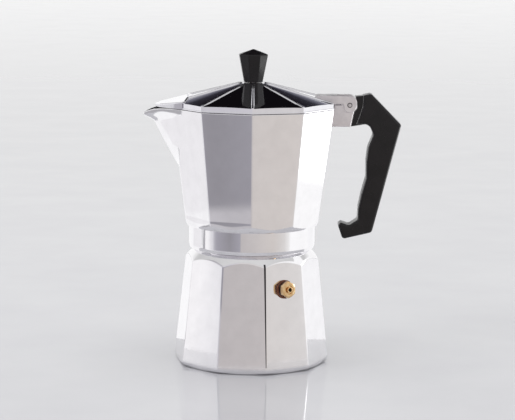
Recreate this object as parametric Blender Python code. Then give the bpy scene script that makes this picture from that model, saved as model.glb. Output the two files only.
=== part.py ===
"""Stovetop moka pot with its boiler, funnel, collector, lid, handle and valve.

Metres, +Z up. The origin is the centre of the boiler's flat base, +X points at
the handle and -X at the spout. Sizes are written in millimetres and scaled once.
"""
import math

import bmesh
import bpy
from mathutils import Matrix, Vector

MM = 0.001
GAP = 0.3                    # between touching pieces
SIDES = 10
FACET = 2.0 * math.pi / SIDES
CORNER_HALF = 0.6            # half the width of the flat worn on each vertical edge
ROUND_SEGMENTS = 40
SMALL_SEGMENTS = 20

# Boiler
BOILER_EDGE_Z = 4.5          # where the rounded foot meets the facets
BOILER_EDGE_R = 52.4         # corner radius there
BOILER_SLOPE = 0.108         # corner radius lost per unit of height
BOILER_FOOT_R = 49.0         # flat circle that it stands on
BOILER_TURN = math.radians(281.4)
BOILER_WALL = 3.0
BOILER_FLOOR = 3.0
SHOULDER_Z = 77.6            # top of the conical shoulder
SHOULDER_LAND = 3.0          # flat ring between the shoulder and the neck
SHOULDER_SLOPE = 1.12
NECK_ROOT_R = 36.0
NECK_WALL = 4.0
NECK_H = 12.4

# Thread between boiler and collector
THREAD_PITCH = 4.0
THREAD_DEPTH = 1.0
THREAD_CLEARANCE = 0.5
THREAD_START = 1.8           # above the shoulder
THREAD_TURNS = 2.25
THREAD_ROWS_PER_TURN = 4

# Funnel and its screen
SHEET = 0.8
FLANGE_THICKNESS = 1.0
FLANGE_CLEARANCE = 0.8       # to the recess in the collar
BASKET_CLEARANCE = 2.3       # to the boiler's bore
BASKET_DEPTH = 22.0
BASKET_CONE = 6.0
STEM_R = 5.6
STEM_FOOT_Z = 8.0
SCREEN_LEDGE = 1.4
SCREEN_CONE_LAND = 0.8

# Gasket and filter plate
GASKET_THICKNESS = 4.0
GASKET_OVERLAP = 3.5         # inward of the neck's bore
RECESS_CLEARANCE = 0.8       # round the neck
PLATE_RECESS_STEP = 3.5
PLATE_THICKNESS = 1.0
PLATE_CAVITY = 3.2

# Collector
COLLAR_WALL = 5.0            # outside the thread
COLLAR_BOTTOM_GAP = 0.4      # over the boiler's shoulder
COLLAR_LIP = 1.3
COLLAR_LIP_H = 2.3
COLLAR_H = 15.2
BELLY_STEP = 0.7             # from the collar out to the belly
BELLY_H = 6.8
CHAMBER_H = 72.5             # from the belly up to the rim
RIM_R = 56.6
COLLECTOR_SLOPE = 0.134
COLLECTOR_WALL = 2.4
COLLECTOR_FLOOR = 3.2

# Spout
SPOUT_ROOT_DROP = 41.5       # below the rim
SPOUT_SEAM = 0.36            # share of the neighbouring facet that it takes at the rim
SPOUT_RUN = 18.0             # how far its keel runs out below the beak
SPOUT_BOW = 0.9              # below 1 the keel bows outward
SPOUT_BEAK_DROP = 10.5       # below the rim
SPOUT_LIP_DROP = 4.6
SPOUT_REACH = 17.4           # beyond the rim's corner radius
SPOUT_TIP_RISE = 2.0         # from the end of the keel to the lip
SPOUT_SHARES = (0.3, 0.55, 0.75, 0.9)    # places of the points between seam and keel

# Column
COLUMN_FOOT_R = 6.2
COLUMN_TOP_R = 4.8
COLUMN_BORE_R = 3.4
COLUMN_TOP_DROP = 22.5       # below the rim
COLUMN_FLANGE_R = 8.5
COLUMN_FLANGE_H = 1.6
COLUMN_SLOT_H = 8.0
COLUMN_SLOT_W = 3.4

# Lid
LID_SKIRT = 3.5
LID_WALL = 1.8
LID_SEAT_R = 7.4
LID_RISE = 12.6              # from its edge to the knob's seat
LID_MID = 0.35               # where the ribs start to fade, as a share of the rim's size
RIB_HALF = 1.1
RIB_TOP_HALF = 0.65
RIB_HEIGHT = 0.7
COVER_NOSE_OUT = 10.0        # beyond the rim's corner radius
COVER_CORNER_OUT = 5.4
COVER_INNER_IN = 15.3        # inward of it
COVER_NOSE_RISE = 1.4
COVER_SLOPE = 0.176

# Hinge
PIN_OUT = 8.0                # beyond the rim's corner radius
PIN_RISE = 2.3               # above the rim
PIN_R = 1.7
LUG_HALF = 5.0
LUG_END_R = 4.4
LUG_DEPTH = 12.5             # below the rim
LUG_END_LEAN = 0.19
SLOT_HALF = 2.6
SLOT_FLOOR_OUT = 1.2         # beyond the rim's corner radius
CHEEK_T = 2.4
CHEEK_END_R = 4.8
CHEEK_TOP_RISE = 6.2         # above the pin
CHEEK_BOTTOM_RISE = 2.5      # above the lid's lower edge
WEB_END_IN = 0.3             # inward of the rim's corner radius

# Handle
HANDLE_HALF = 7.5
HANDLE_BEVEL = 2.0
NECK_SHOULDER = 8.9          # radius kept free round the pin for the swinging cheeks

# Knob and its fastening
KNOB_SIDES = 8
KNOB_TURN = math.radians(252.0)
KNOB_TOP_R = 10.4
KNOB_BASE_R = 6.65
KNOB_SHOULDER_H = 18.8       # above the lid's seat
KNOB_POINT_H = 3.4
INSERT_R = 3.5
INSERT_LENGTH = 12.0
SCREW_R = 1.9
SCREW_HEAD_R = 4.0
SCREW_HEAD_H = 2.2
WASHER_R = 5.2
WASHER_T = 0.8

# Safety valve, measured outward along its own axis from the wall's outer face
VALVE_Z = 55.6
VALVE_SHANK_R = 4.0
VALVE_WALL = 1.4
VALVE_SEAT_R = 1.4
VALVE_INNER_END = -8.0
VALVE_SEAL_T = 0.6
VALVE_SEAL_W = 2.2           # round the shank
VALVE_HEX_W = 2.3            # corners, round the shank
VALVE_HEX_T = 1.6
VALVE_NECK_W = 0.4           # round the shank
VALVE_NECK_T = 0.5
VALVE_CAP_STEP = 0.3         # corners, inward of the rear hexagon
VALVE_CAP_DOME = 0.9
VALVE_EASE = 0.4             # width of the turned chamfers
VALVE_LAP = 0.2              # how far joined turned pieces reach into each other
VALVE_CAP_T = 2.0
VALVE_NIPPLE_R = 2.5
VALVE_NIPPLE_T = 2.0
VALVE_PLUG = 3.0             # length of the cap's plug inside the body
POPPET_T = 1.0
POPPET_STEM_R = 0.9
POPPET_LIFT = 1.5
SPRING_WIRE_R = 0.28
SPRING_TURNS = 5

# Worked-out sizes
SHOULDER_R = NECK_ROOT_R + SHOULDER_LAND
NECK_BORE_R = NECK_ROOT_R - NECK_WALL
NECK_TOP_Z = SHOULDER_Z + NECK_H
THREAD_START_Z = SHOULDER_Z + THREAD_START
THREAD_CREST_R = NECK_ROOT_R + THREAD_DEPTH
THREAD_END_Z = THREAD_START_Z + THREAD_PITCH * THREAD_TURNS
COLLAR_CREST_R = THREAD_CREST_R + THREAD_CLEARANCE
COLLAR_BOTTOM_Z = SHOULDER_Z + COLLAR_BOTTOM_GAP
COLLAR_R = COLLAR_CREST_R + COLLAR_WALL
COLLAR_TOP_Z = COLLAR_BOTTOM_Z + COLLAR_H
BELLY_R = COLLAR_R + BELLY_STEP
BELLY_TOP_Z = COLLAR_TOP_Z + BELLY_H
RIM_Z = BELLY_TOP_Z + CHAMBER_H
RECESS_R = NECK_ROOT_R + RECESS_CLEARANCE
PLATE_RECESS_R = RECESS_R - PLATE_RECESS_STEP
GASKET_INNER_R = NECK_BORE_R - GASKET_OVERLAP
FLANGE_R = RECESS_R - FLANGE_CLEARANCE
FLANGE_Z = NECK_TOP_Z + GAP
BASKET_R = NECK_BORE_R - BASKET_CLEARANCE
GASKET_Z = FLANGE_Z + FLANGE_THICKNESS + GAP
GASKET_TOP_Z = GASKET_Z + GASKET_THICKNESS
PLATE_Z = GASKET_TOP_Z + GAP
FLOOR_UNDER_Z = PLATE_Z + PLATE_CAVITY
FLOOR_Z = FLOOR_UNDER_Z + COLLECTOR_FLOOR
SPOUT_ROOT_Z = RIM_Z - SPOUT_ROOT_DROP
SPOUT_BEAK_Z = RIM_Z - SPOUT_BEAK_DROP
SPOUT_TIP_X = RIM_R + SPOUT_REACH
COLUMN_TOP_Z = RIM_Z - COLUMN_TOP_DROP
LID_Z = RIM_Z + GAP
LID_EDGE_Z = LID_Z + LID_SKIRT
LID_SEAT_Z = LID_EDGE_Z + LID_RISE
COVER_NOSE_X = RIM_R + COVER_NOSE_OUT
COVER_CORNER_X = RIM_R + COVER_CORNER_OUT
COVER_INNER_X = RIM_R - COVER_INNER_IN
PIN_X = RIM_R + PIN_OUT
PIN_Z = RIM_Z + PIN_RISE
LUG_BOTTOM_Z = RIM_Z - LUG_DEPTH
SLOT_FLOOR_X = RIM_R + SLOT_FLOOR_OUT
CHEEK_TOP_Z = PIN_Z + CHEEK_TOP_RISE
CHEEK_BOTTOM_Z = LID_Z + CHEEK_BOTTOM_RISE
WEB_END_X = RIM_R - WEB_END_IN
CHEEK_INNER = LUG_HALF + GAP
CHEEK_OUTER = CHEEK_INNER + CHEEK_T
KNOB_SHOULDER_Z = LID_SEAT_Z + KNOB_SHOULDER_H
KNOB_APEX_Z = KNOB_SHOULDER_Z + KNOB_POINT_H
VALVE_BORE_R = VALVE_SHANK_R - VALVE_WALL
VALVE_SEAL_R = VALVE_SHANK_R + VALVE_SEAL_W
VALVE_HEX_R = VALVE_SHANK_R + VALVE_HEX_W
VALVE_NECK_R = VALVE_SHANK_R + VALVE_NECK_W
VALVE_CAP_R = VALVE_HEX_R - VALVE_CAP_STEP
HALF_FACET_COS = math.cos(FACET / 2.0)


# ---------------------------------------------------------------- helpers

def clear_scene():
    """Remove every object, so that the model starts from an empty scene."""
    for item in list(bpy.data.objects):
        bpy.data.objects.remove(item, do_unlink=True)


def make_material(name, colour, metallic, roughness):
    """Return a Principled material."""
    material = bpy.data.materials.new(name)
    material.use_nodes = True
    shader = material.node_tree.nodes["Principled BSDF"]
    shader.inputs["Base Color"].default_value = (*colour, 1.0)
    shader.inputs["Metallic"].default_value = metallic
    shader.inputs["Roughness"].default_value = roughness
    return material


def mesh_object(name, shape, material=None):
    """Turn a bmesh in millimetres into a smooth shaded object in metres."""
    bmesh.ops.recalc_face_normals(shape, faces=shape.faces[:])
    bmesh.ops.scale(shape, vec=(MM, MM, MM), verts=shape.verts[:])
    mesh = bpy.data.meshes.new(name)
    shape.to_mesh(mesh)
    shape.free()
    mesh.shade_smooth()
    mesh.set_sharp_from_angle(angle=math.radians(28.0))
    item = bpy.data.objects.new(name, mesh)
    bpy.context.scene.collection.objects.link(item)
    if material:
        mesh.materials.append(material)
    return item


def combine(item, tool, operation):
    """Join, cut or trim an object with a hidden tool object."""
    tool.hide_render = True
    tool.display_type = "WIRE"
    modifier = item.modifiers.new(tool.name, "BOOLEAN")
    modifier.operation = operation
    modifier.solver = "EXACT"
    modifier.object = tool


def loft(rings, closed=False):
    """Skin a list of equal rings; the ends are capped unless the list closes on itself."""
    shape = bmesh.new()
    loops = [[shape.verts.new(point) for point in ring] for ring in rings]
    pairs = list(zip(loops, loops[1:]))
    if closed:
        pairs.append((loops[-1], loops[0]))
    count = len(loops[0])
    for low, high in pairs:
        for i in range(count):
            j = (i + 1) % count
            shape.faces.new((low[i], low[j], high[j], high[i]))
    if not closed:
        shape.faces.new(loops[0][::-1])
        shape.faces.new(loops[-1])
    return shape


def circle(radius, z, segments=ROUND_SEGMENTS, turn=0.0):
    """Return the points of a level circle."""
    step = 2.0 * math.pi / segments
    return [
        Vector((radius * math.cos(turn + i * step), radius * math.sin(turn + i * step), z))
        for i in range(segments)
    ]


def turned(profile, segments=ROUND_SEGMENTS, closed=True, turn=0.0):
    """Turn a profile of (radius, z) points about Z."""
    return loft([circle(r, z, segments, turn) for r, z in profile], closed)


def cylinder(radius, low, high, segments=SMALL_SEGMENTS):
    """Return a plain cylinder on Z."""
    return turned([(radius, low), (radius, high)], segments, closed=False)


def place(shape, matrix):
    """Move every point of a bmesh and return it."""
    bmesh.ops.transform(shape, matrix=matrix, verts=shape.verts[:])
    return shape


def block(low, high):
    """Return a box between two corners."""
    shape = bmesh.new()
    bmesh.ops.create_cube(shape, size=1.0)
    size = Vector(high) - Vector(low)
    middle = (Vector(high) + Vector(low)) / 2.0
    return place(shape, Matrix.Translation(middle) @ Matrix.Diagonal((*size, 1.0)))


def inset(points, distance):
    """Move a counter-clockwise outline of 2-D points inward by a distance."""
    result = []
    count = len(points)
    for i, point in enumerate(points):
        before = (point - points[i - 1]).normalized()
        after = (points[(i + 1) % count] - point).normalized()
        first = Vector((-before.y, before.x))
        second = Vector((-after.y, after.x))
        result.append(point + (first + second) * distance / (1.0 + first.dot(second)))
    return result


def rounded(corners, steps=5):
    """Return a 2-D outline from (x, y, radius) corners, each one an arc."""
    result = []
    count = len(corners)
    for i, (x, y, radius) in enumerate(corners):
        here = Vector((x, y))
        back = (Vector(corners[i - 1][:2]) - here).normalized()
        ahead = (Vector(corners[(i + 1) % count][:2]) - here).normalized()
        half = back.angle(ahead) / 2.0
        if radius <= 0.0 or math.pi / 2.0 - half < math.radians(1.0):
            result.append(here)
            continue
        centre = here + (back + ahead).normalized() * radius / math.sin(half)
        start = here + back * radius / math.tan(half) - centre
        end = here + ahead * radius / math.tan(half) - centre
        sweep = start.angle_signed(end)
        parts = max(2, round(steps * abs(sweep) / (math.pi / 2.0)) + 1)
        for k in range(parts):
            turn = -sweep * k / (parts - 1)
            result.append(centre + start @ Matrix.Rotation(turn, 2).transposed())
    return result


def plate(outline, low, high):
    """Extrude an outline of (x, z) points from y = low to y = high."""
    rings = [[Vector((p.x, y, p.y)) for p in outline] for y in (low, high)]
    return loft(rings)


def softened_plate(outline, half, bevel):
    """Extrude an (x, z) outline to both sides of the middle plane, with rounded edges."""
    rings = []
    steps = 3
    for side in (-1.0, 1.0):
        stages = range(steps + 1) if side < 0.0 else range(steps, -1, -1)
        for stage in stages:
            angle = math.pi / 2.0 * stage / steps
            cut = bevel * (1.0 - math.sin(angle))
            y = side * (half - bevel * (1.0 - math.cos(angle)))
            rings.append([Vector((p.x, y, p.y)) for p in inset(outline, cut)])
    return loft(rings)


def thread_radius(point_angle, z, root):
    """Return the radius of a right-hand thread at an angle and height."""
    phase = (z / THREAD_PITCH - point_angle / (2.0 * math.pi)) % 1.0
    rise = min(1.0, max(0.0, 1.3 - 4.0 * abs(phase - 0.5)))
    return root + THREAD_DEPTH * rise


def thread_rings(angles, root):
    """Return the rings of a threaded surface, from the bottom to the top."""
    rows = round(THREAD_TURNS * THREAD_ROWS_PER_TURN)
    rings = []
    for row in range(rows + 1):
        z = THREAD_START_Z + THREAD_PITCH * row / THREAD_ROWS_PER_TURN
        ring = []
        for angle in angles:
            radius = root if row in (0, rows) else thread_radius(angle, z, root)
            ring.append(Vector((radius * math.cos(angle), radius * math.sin(angle), z)))
        rings.append(ring)
    return rings


# ---------------------------------------------------------------- ten-sided shapes

def corner_points(radius, turn):
    """Return the plan corners of a regular ten-sided shape."""
    return [
        Vector((radius * math.cos(turn + i * FACET), radius * math.sin(turn + i * FACET)))
        for i in range(SIDES)
    ]


def along(start, end, shares):
    """Return points on an edge: one just past its start, the shares, one before its end."""
    length = (end - start).length
    nick = CORNER_HALF / length
    return [start.lerp(end, s) for s in (nick, *shares, 1.0 - nick)]


def plain_plan(corners):
    """Return the plan points of a ten-sided ring with slightly flattened corners."""
    points = []
    for i, corner in enumerate(corners):
        points += along(corner, corners[(i + 1) % SIDES], (1.0 / 3.0, 2.0 / 3.0))
    return points


def bowl_rings(plan, inner_r, low, height, steps=3):
    """Return rings that round a circle out into a ten-sided plan."""
    rings = []
    for step in range(steps + 1):
        angle = math.pi / 2.0 * step / steps
        ring = []
        for point in plan:
            radius = inner_r + (point.length - inner_r) * math.sin(angle)
            spot = point.normalized() * radius
            ring.append(Vector((spot.x, spot.y, low + height * (1.0 - math.cos(angle)))))
        rings.append(ring)
    return rings


def level(plan, z):
    """Lift plan points to a height."""
    return [Vector((p.x, p.y, z)) for p in plan]


def ring_like(plan, radius, z):
    """Return a circle whose points have the same directions as a plan's."""
    return [Vector((*(p.xy.normalized() * radius), z)) for p in plan]


def angles_of(plan):
    """Return the direction of each plan point."""
    return [math.atan2(p.y, p.x) for p in plan]


# ---------------------------------------------------------------- boiler and valve

def boiler_corner_r(z):
    """Return the boiler's corner radius at a height."""
    return BOILER_EDGE_R - BOILER_SLOPE * (z - BOILER_EDGE_Z)


def shoulder_meeting(direction):
    """Return the height where a facet meets the conical shoulder in a direction."""
    offset = (direction - BOILER_TURN + FACET / 2.0) % FACET - FACET / 2.0
    lean = HALF_FACET_COS / math.cos(FACET / 2.0 - abs(offset))
    base = boiler_corner_r(0.0) * lean
    run = BOILER_SLOPE * lean
    cone = SHOULDER_R + SHOULDER_Z / SHOULDER_SLOPE
    return (cone - base) / (1.0 / SHOULDER_SLOPE - run)


def build_boiler(material):
    """Make the water chamber with its shoulder, threaded neck and valve hole."""
    plan = plain_plan(corner_points(BOILER_EDGE_R, BOILER_TURN))
    angles = angles_of(plan)
    rings = bowl_rings(plan, BOILER_FOOT_R, 0.0, BOILER_EDGE_Z)
    edge = []
    for angle, point in zip(angles, plan):
        z = shoulder_meeting(angle)
        scale = boiler_corner_r(z) / BOILER_EDGE_R
        edge.append(Vector((point.x * scale, point.y * scale, z)))
    rings.append(edge)
    rings.append(ring_like(plan, SHOULDER_R, SHOULDER_Z))
    rings.append(ring_like(plan, NECK_ROOT_R, SHOULDER_Z))
    rings += thread_rings(angles, NECK_ROOT_R)
    rings.append(ring_like(plan, NECK_ROOT_R - 0.5, NECK_TOP_Z))
    rings.append(ring_like(plan, NECK_BORE_R, NECK_TOP_Z))
    rings.append(ring_like(plan, NECK_BORE_R, SHOULDER_Z - BOILER_WALL))
    inner_top = SHOULDER_Z - BOILER_WALL - 5.0
    for z in (inner_top, BOILER_FLOOR + 7.0):
        corners = corner_points(boiler_corner_r(z), BOILER_TURN)
        rings.append(level(plain_plan(inset(corners, BOILER_WALL)), z))
    foot = inset(corner_points(boiler_corner_r(BOILER_FLOOR + 7.0), BOILER_TURN), BOILER_WALL + 2.0)
    rings.append(level(plain_plan(foot), BOILER_FLOOR + 2.0))
    rings.append(ring_like(plan, foot[0].length * HALF_FACET_COS - 2.5, BOILER_FLOOR))
    boiler = mesh_object("boiler", loft(rings), material)
    hole = cylinder(VALVE_SHANK_R + GAP, -3.0 * BOILER_WALL, 2.0 * BOILER_WALL)
    combine(boiler, mesh_object("valve_hole", place(hole, valve_frame())), "DIFFERENCE")
    return boiler


def valve_frame():
    """Return the valve's frame in millimetres: its Z runs out of the wall."""
    facing = BOILER_TURN + FACET / 2.0
    apothem = boiler_corner_r(VALVE_Z) * HALF_FACET_COS
    spot = Vector((apothem * math.cos(facing), apothem * math.sin(facing), VALVE_Z))
    tilt = math.atan(BOILER_SLOPE * HALF_FACET_COS)
    outward = Vector((
        math.cos(facing) * math.cos(tilt),
        math.sin(facing) * math.cos(tilt),
        math.sin(tilt),
    ))
    return Matrix.Translation(spot) @ outward.to_track_quat("Z", "Y").to_matrix().to_4x4()


def valve_object(name, shape, material, along_axis=0.0):
    """Put a valve piece on the valve's axis, with its origin on that axis."""
    item = mesh_object(name, shape, material)
    frame = valve_frame()
    frame.translation *= MM
    item.matrix_world = frame @ Matrix.Translation((0.0, 0.0, along_axis * MM))
    return item


def build_valve(brass, steel, fibre):
    """Make the pressure relief valve: seal, body, cap, poppet and spring."""
    seal_low = GAP
    seal_high = seal_low + VALVE_SEAL_T
    ring = [(VALVE_SEAL_R, seal_low), (VALVE_SEAL_R, seal_high)]
    ring += [(VALVE_SHANK_R + GAP, seal_high), (VALVE_SHANK_R + GAP, seal_low)]
    valve_object("valve_seal", turned(ring, SMALL_SEGMENTS), fibre)

    hex_low = seal_high + GAP
    hex_high = hex_low + VALVE_HEX_T
    neck_end = hex_high + VALVE_NECK_T
    seat_z = VALVE_INNER_END + 1.5
    body = turned(
        [
            (VALVE_SEAT_R, VALVE_INNER_END),
            (VALVE_SHANK_R - VALVE_EASE, VALVE_INNER_END),
            (VALVE_SHANK_R, VALVE_INNER_END + 0.6),
            (VALVE_SHANK_R, hex_high),
            (VALVE_NECK_R, hex_high),
            (VALVE_NECK_R, neck_end),
            (VALVE_BORE_R, neck_end),
            (VALVE_BORE_R, seat_z),
            (VALVE_SEAT_R, seat_z),
        ],
        SMALL_SEGMENTS,
    )
    body_item = valve_object("valve_body", body, brass)
    flange = loft([
        circle(VALVE_HEX_R, hex_low, 6),
        circle(VALVE_HEX_R, hex_high - VALVE_LAP, 6),
        circle(VALVE_BORE_R + 0.5, hex_high - VALVE_LAP, 6),
        circle(VALVE_BORE_R + 0.5, hex_low, 6),
    ], closed=True)
    flange_item = valve_object("valve_flange_tool", flange, brass)
    combine(body_item, flange_item, "UNION")

    cap_low = neck_end + GAP
    cap_high = cap_low + VALVE_CAP_T
    nipple_end = cap_high + VALVE_NIPPLE_T
    outlet_r = POPPET_STEM_R + GAP
    cap = turned(
        [
            (outlet_r, cap_low - VALVE_PLUG),
            (VALVE_BORE_R - GAP, cap_low - VALVE_PLUG),
            (VALVE_BORE_R - GAP, cap_low + VALVE_EASE),
            (VALVE_NECK_R, cap_low + VALVE_EASE),
            (VALVE_NECK_R, cap_high - VALVE_LAP),
            (VALVE_NIPPLE_R, cap_high),
            (VALVE_NIPPLE_R, nipple_end - VALVE_EASE),
            (VALVE_NIPPLE_R - VALVE_EASE, nipple_end),
            (outlet_r, nipple_end),
        ],
        SMALL_SEGMENTS,
    )
    cap_item = valve_object("valve_cap", cap, brass)
    head = loft([
        circle(VALVE_CAP_R, cap_low, 6),
        circle(VALVE_CAP_R, cap_high - VALVE_CAP_DOME, 6),
        circle(VALVE_CAP_R - VALVE_CAP_DOME, cap_high - 0.1, 6),
        circle(outlet_r + 0.6, cap_high - 0.1, 6),
        circle(outlet_r + 0.6, cap_low, 6),
    ], closed=True)
    combine(cap_item, valve_object("valve_head_tool", head, brass), "UNION")

    disc_low = seat_z + GAP
    disc_high = disc_low + POPPET_T
    poppet = turned(
        [
            (VALVE_BORE_R - 2.0 * GAP, disc_low),
            (VALVE_BORE_R - 2.0 * GAP, disc_high),
            (POPPET_STEM_R, disc_high),
            (POPPET_STEM_R, nipple_end - POPPET_LIFT - 0.5),
        ],
        SMALL_SEGMENTS,
        closed=False,
    )
    valve_object("valve_plunger", poppet, steel)
    build_spring(steel, disc_high + GAP, cap_low - VALVE_PLUG - GAP)


def build_spring(material, low, high):
    """Make the coil spring round the poppet's stem, between two heights."""
    middle_r = (POPPET_STEM_R + VALVE_BORE_R) / 2.0
    start = low + SPRING_WIRE_R
    rise = high - low - 2.0 * SPRING_WIRE_R
    steps = SPRING_TURNS * 12
    curve = bpy.data.curves.new("valve_spring", "CURVE")
    curve.dimensions = "3D"
    curve.bevel_depth = SPRING_WIRE_R * MM
    curve.bevel_resolution = 1
    curve.use_fill_caps = True
    spline = curve.splines.new("POLY")
    spline.points.add(steps)
    for i, point in enumerate(spline.points):
        angle = 2.0 * math.pi * SPRING_TURNS * i / steps
        x = middle_r * math.cos(angle) * MM
        y = middle_r * math.sin(angle) * MM
        point.co = (x, y, (start + rise * i / steps) * MM, 1.0)
    curve.materials.append(material)
    item = bpy.data.objects.new("valve_spring", curve)
    bpy.context.scene.collection.objects.link(item)
    frame = valve_frame()
    frame.translation *= MM
    item.matrix_world = frame
    return item


# ---------------------------------------------------------------- funnel, gasket, filter

def hole_grid(radius, spacing, clear=0.0):
    """Return hexagonally packed (x, y) places between a clear middle and a radius."""
    places = []
    rows = int(radius / (spacing * 0.866)) + 1
    for row in range(-rows, rows + 1):
        y = row * spacing * 0.866
        shift = spacing / 2.0 if row % 2 else 0.0
        columns = int(radius / spacing) + 1
        for column in range(-columns, columns + 1):
            x = column * spacing + shift
            if clear <= math.hypot(x, y) <= radius:
                places.append((x, y))
    return places


def perforated_disc(name, radius, low, thickness, hole_r, spacing, material):
    """Make a flat disc with a packed pattern of holes."""
    disc = mesh_object(name, cylinder(radius, low, low + thickness, ROUND_SEGMENTS), material)
    holes = bmesh.new()
    for x, y in hole_grid(radius - 1.4 * spacing, spacing):
        pin = cylinder(hole_r, low - thickness, low + 2.0 * thickness, 6)
        spare = bpy.data.meshes.new("spare")
        place(pin, Matrix.Translation((x, y, 0.0))).to_mesh(spare)
        pin.free()
        holes.from_mesh(spare)
        bpy.data.meshes.remove(spare)
    combine(disc, mesh_object(name + "_holes", holes), "DIFFERENCE")
    return disc


def build_funnel(aluminium):
    """Make the coffee basket with its flange, cone and long stem, and its screen."""
    land_z = FLANGE_Z + FLANGE_THICKNESS - BASKET_DEPTH
    cone_z = land_z - SCREEN_CONE_LAND - BASKET_CONE
    inner_r = BASKET_R - SHEET
    ledge_r = inner_r - SCREEN_LEDGE
    profile = [
        (FLANGE_R, FLANGE_Z),
        (FLANGE_R, FLANGE_Z + FLANGE_THICKNESS),
        (inner_r, FLANGE_Z + FLANGE_THICKNESS),
        (inner_r, land_z),
        (ledge_r, land_z),
        (ledge_r, land_z - SCREEN_CONE_LAND),
        (STEM_R, cone_z),
        (STEM_R - SHEET, cone_z - 1.0),
        (STEM_R - SHEET, STEM_FOOT_Z),
        (STEM_R, STEM_FOOT_Z),
        (STEM_R, cone_z - SHEET - 1.0),
        (BASKET_R, land_z - SCREEN_CONE_LAND - 0.5),
        (BASKET_R, FLANGE_Z),
    ]
    mesh_object("funnel", turned(profile), aluminium)
    perforated_disc(
        "funnel_screen", inner_r - GAP, land_z + GAP, SHEET, 1.1, 6.0, aluminium
    )


def build_seal_stack(silicone, aluminium):
    """Make the gasket and the perforated filter plate above it."""
    ring = [
        (RECESS_R - GAP, GASKET_Z),
        (RECESS_R - GAP, GASKET_TOP_Z),
        (GASKET_INNER_R, GASKET_TOP_Z),
        (GASKET_INNER_R, GASKET_Z),
    ]
    mesh_object("gasket", turned(ring), silicone)
    perforated_disc(
        "filter_plate", PLATE_RECESS_R - GAP, PLATE_Z, PLATE_THICKNESS, 1.1, 6.0, aluminium
    )


# ---------------------------------------------------------------- collector

def collector_corner_r(z):
    """Return the collector's corner radius at a height."""
    return RIM_R - COLLECTOR_SLOPE * (RIM_Z - z)


def spout_share(z):
    """Return how far up the spout a height is, from 0 at its root to 1 at the rim."""
    return min(1.0, max(0.0, (z - SPOUT_ROOT_Z) / (RIM_Z - SPOUT_ROOT_Z)))


def spout_keel(z):
    """Return how far the spout's keel stands out at a height."""
    root = collector_corner_r(SPOUT_ROOT_Z) * HALF_FACET_COS
    if z <= SPOUT_ROOT_Z:
        return collector_corner_r(z) * HALF_FACET_COS
    climb = (min(z, SPOUT_BEAK_Z) - SPOUT_ROOT_Z) / (SPOUT_BEAK_Z - SPOUT_ROOT_Z)
    straight = root + SPOUT_RUN * climb ** SPOUT_BOW
    tip_z = RIM_Z - SPOUT_LIP_DROP - SPOUT_TIP_RISE
    share = min(1.0, max(0.0, (z - SPOUT_BEAK_Z) / (tip_z - SPOUT_BEAK_Z)))
    return straight + (SPOUT_TIP_X - straight) * share ** 1.5


def collector_corners(z):
    """Return the collector's plan corners; the two spout seams and its keel replace a facet."""
    radius = collector_corner_r(z)
    regular = corner_points(radius, FACET / 2.0)
    slide = SPOUT_SEAM * spout_share(z)
    left = regular[4].lerp(regular[3], slide)
    right = regular[5].lerp(regular[6], slide)
    dip = 1.0 - (SPOUT_LIP_DROP / (RIM_Z - SPOUT_ROOT_Z)) * (1.0 if z > SPOUT_ROOT_Z else 0.0)
    keel_z = SPOUT_ROOT_Z + (z - SPOUT_ROOT_Z) * dip if z > SPOUT_ROOT_Z else z
    keel = Vector((-spout_keel(keel_z), 0.0))
    return regular[:4] + [left, keel, right] + regular[6:]


def collector_ring(z, wall=0.0):
    """Return one ring of the collector at a height, moved inward by a wall."""
    corners = inset(collector_corners(z), wall)
    count = len(corners)
    ring = []
    for i, corner in enumerate(corners):
        following = corners[(i + 1) % count]
        if i == 4:
            shares = SPOUT_SHARES
        elif i == 5:
            shares = [1.0 - s for s in reversed(SPOUT_SHARES)]
        else:
            shares = (1.0 / 3.0, 2.0 / 3.0)
        points = along(corner, following, shares)
        length = (following - corner).length
        for point in points:
            share = (point - corner).length / length
            reach = share if i == 4 else (1.0 - share if i == 5 else 0.0)
            drop = SPOUT_LIP_DROP * reach ** 4 * spout_share(z)
            ring.append(Vector((point.x, point.y, z - drop)))
    return ring


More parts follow.
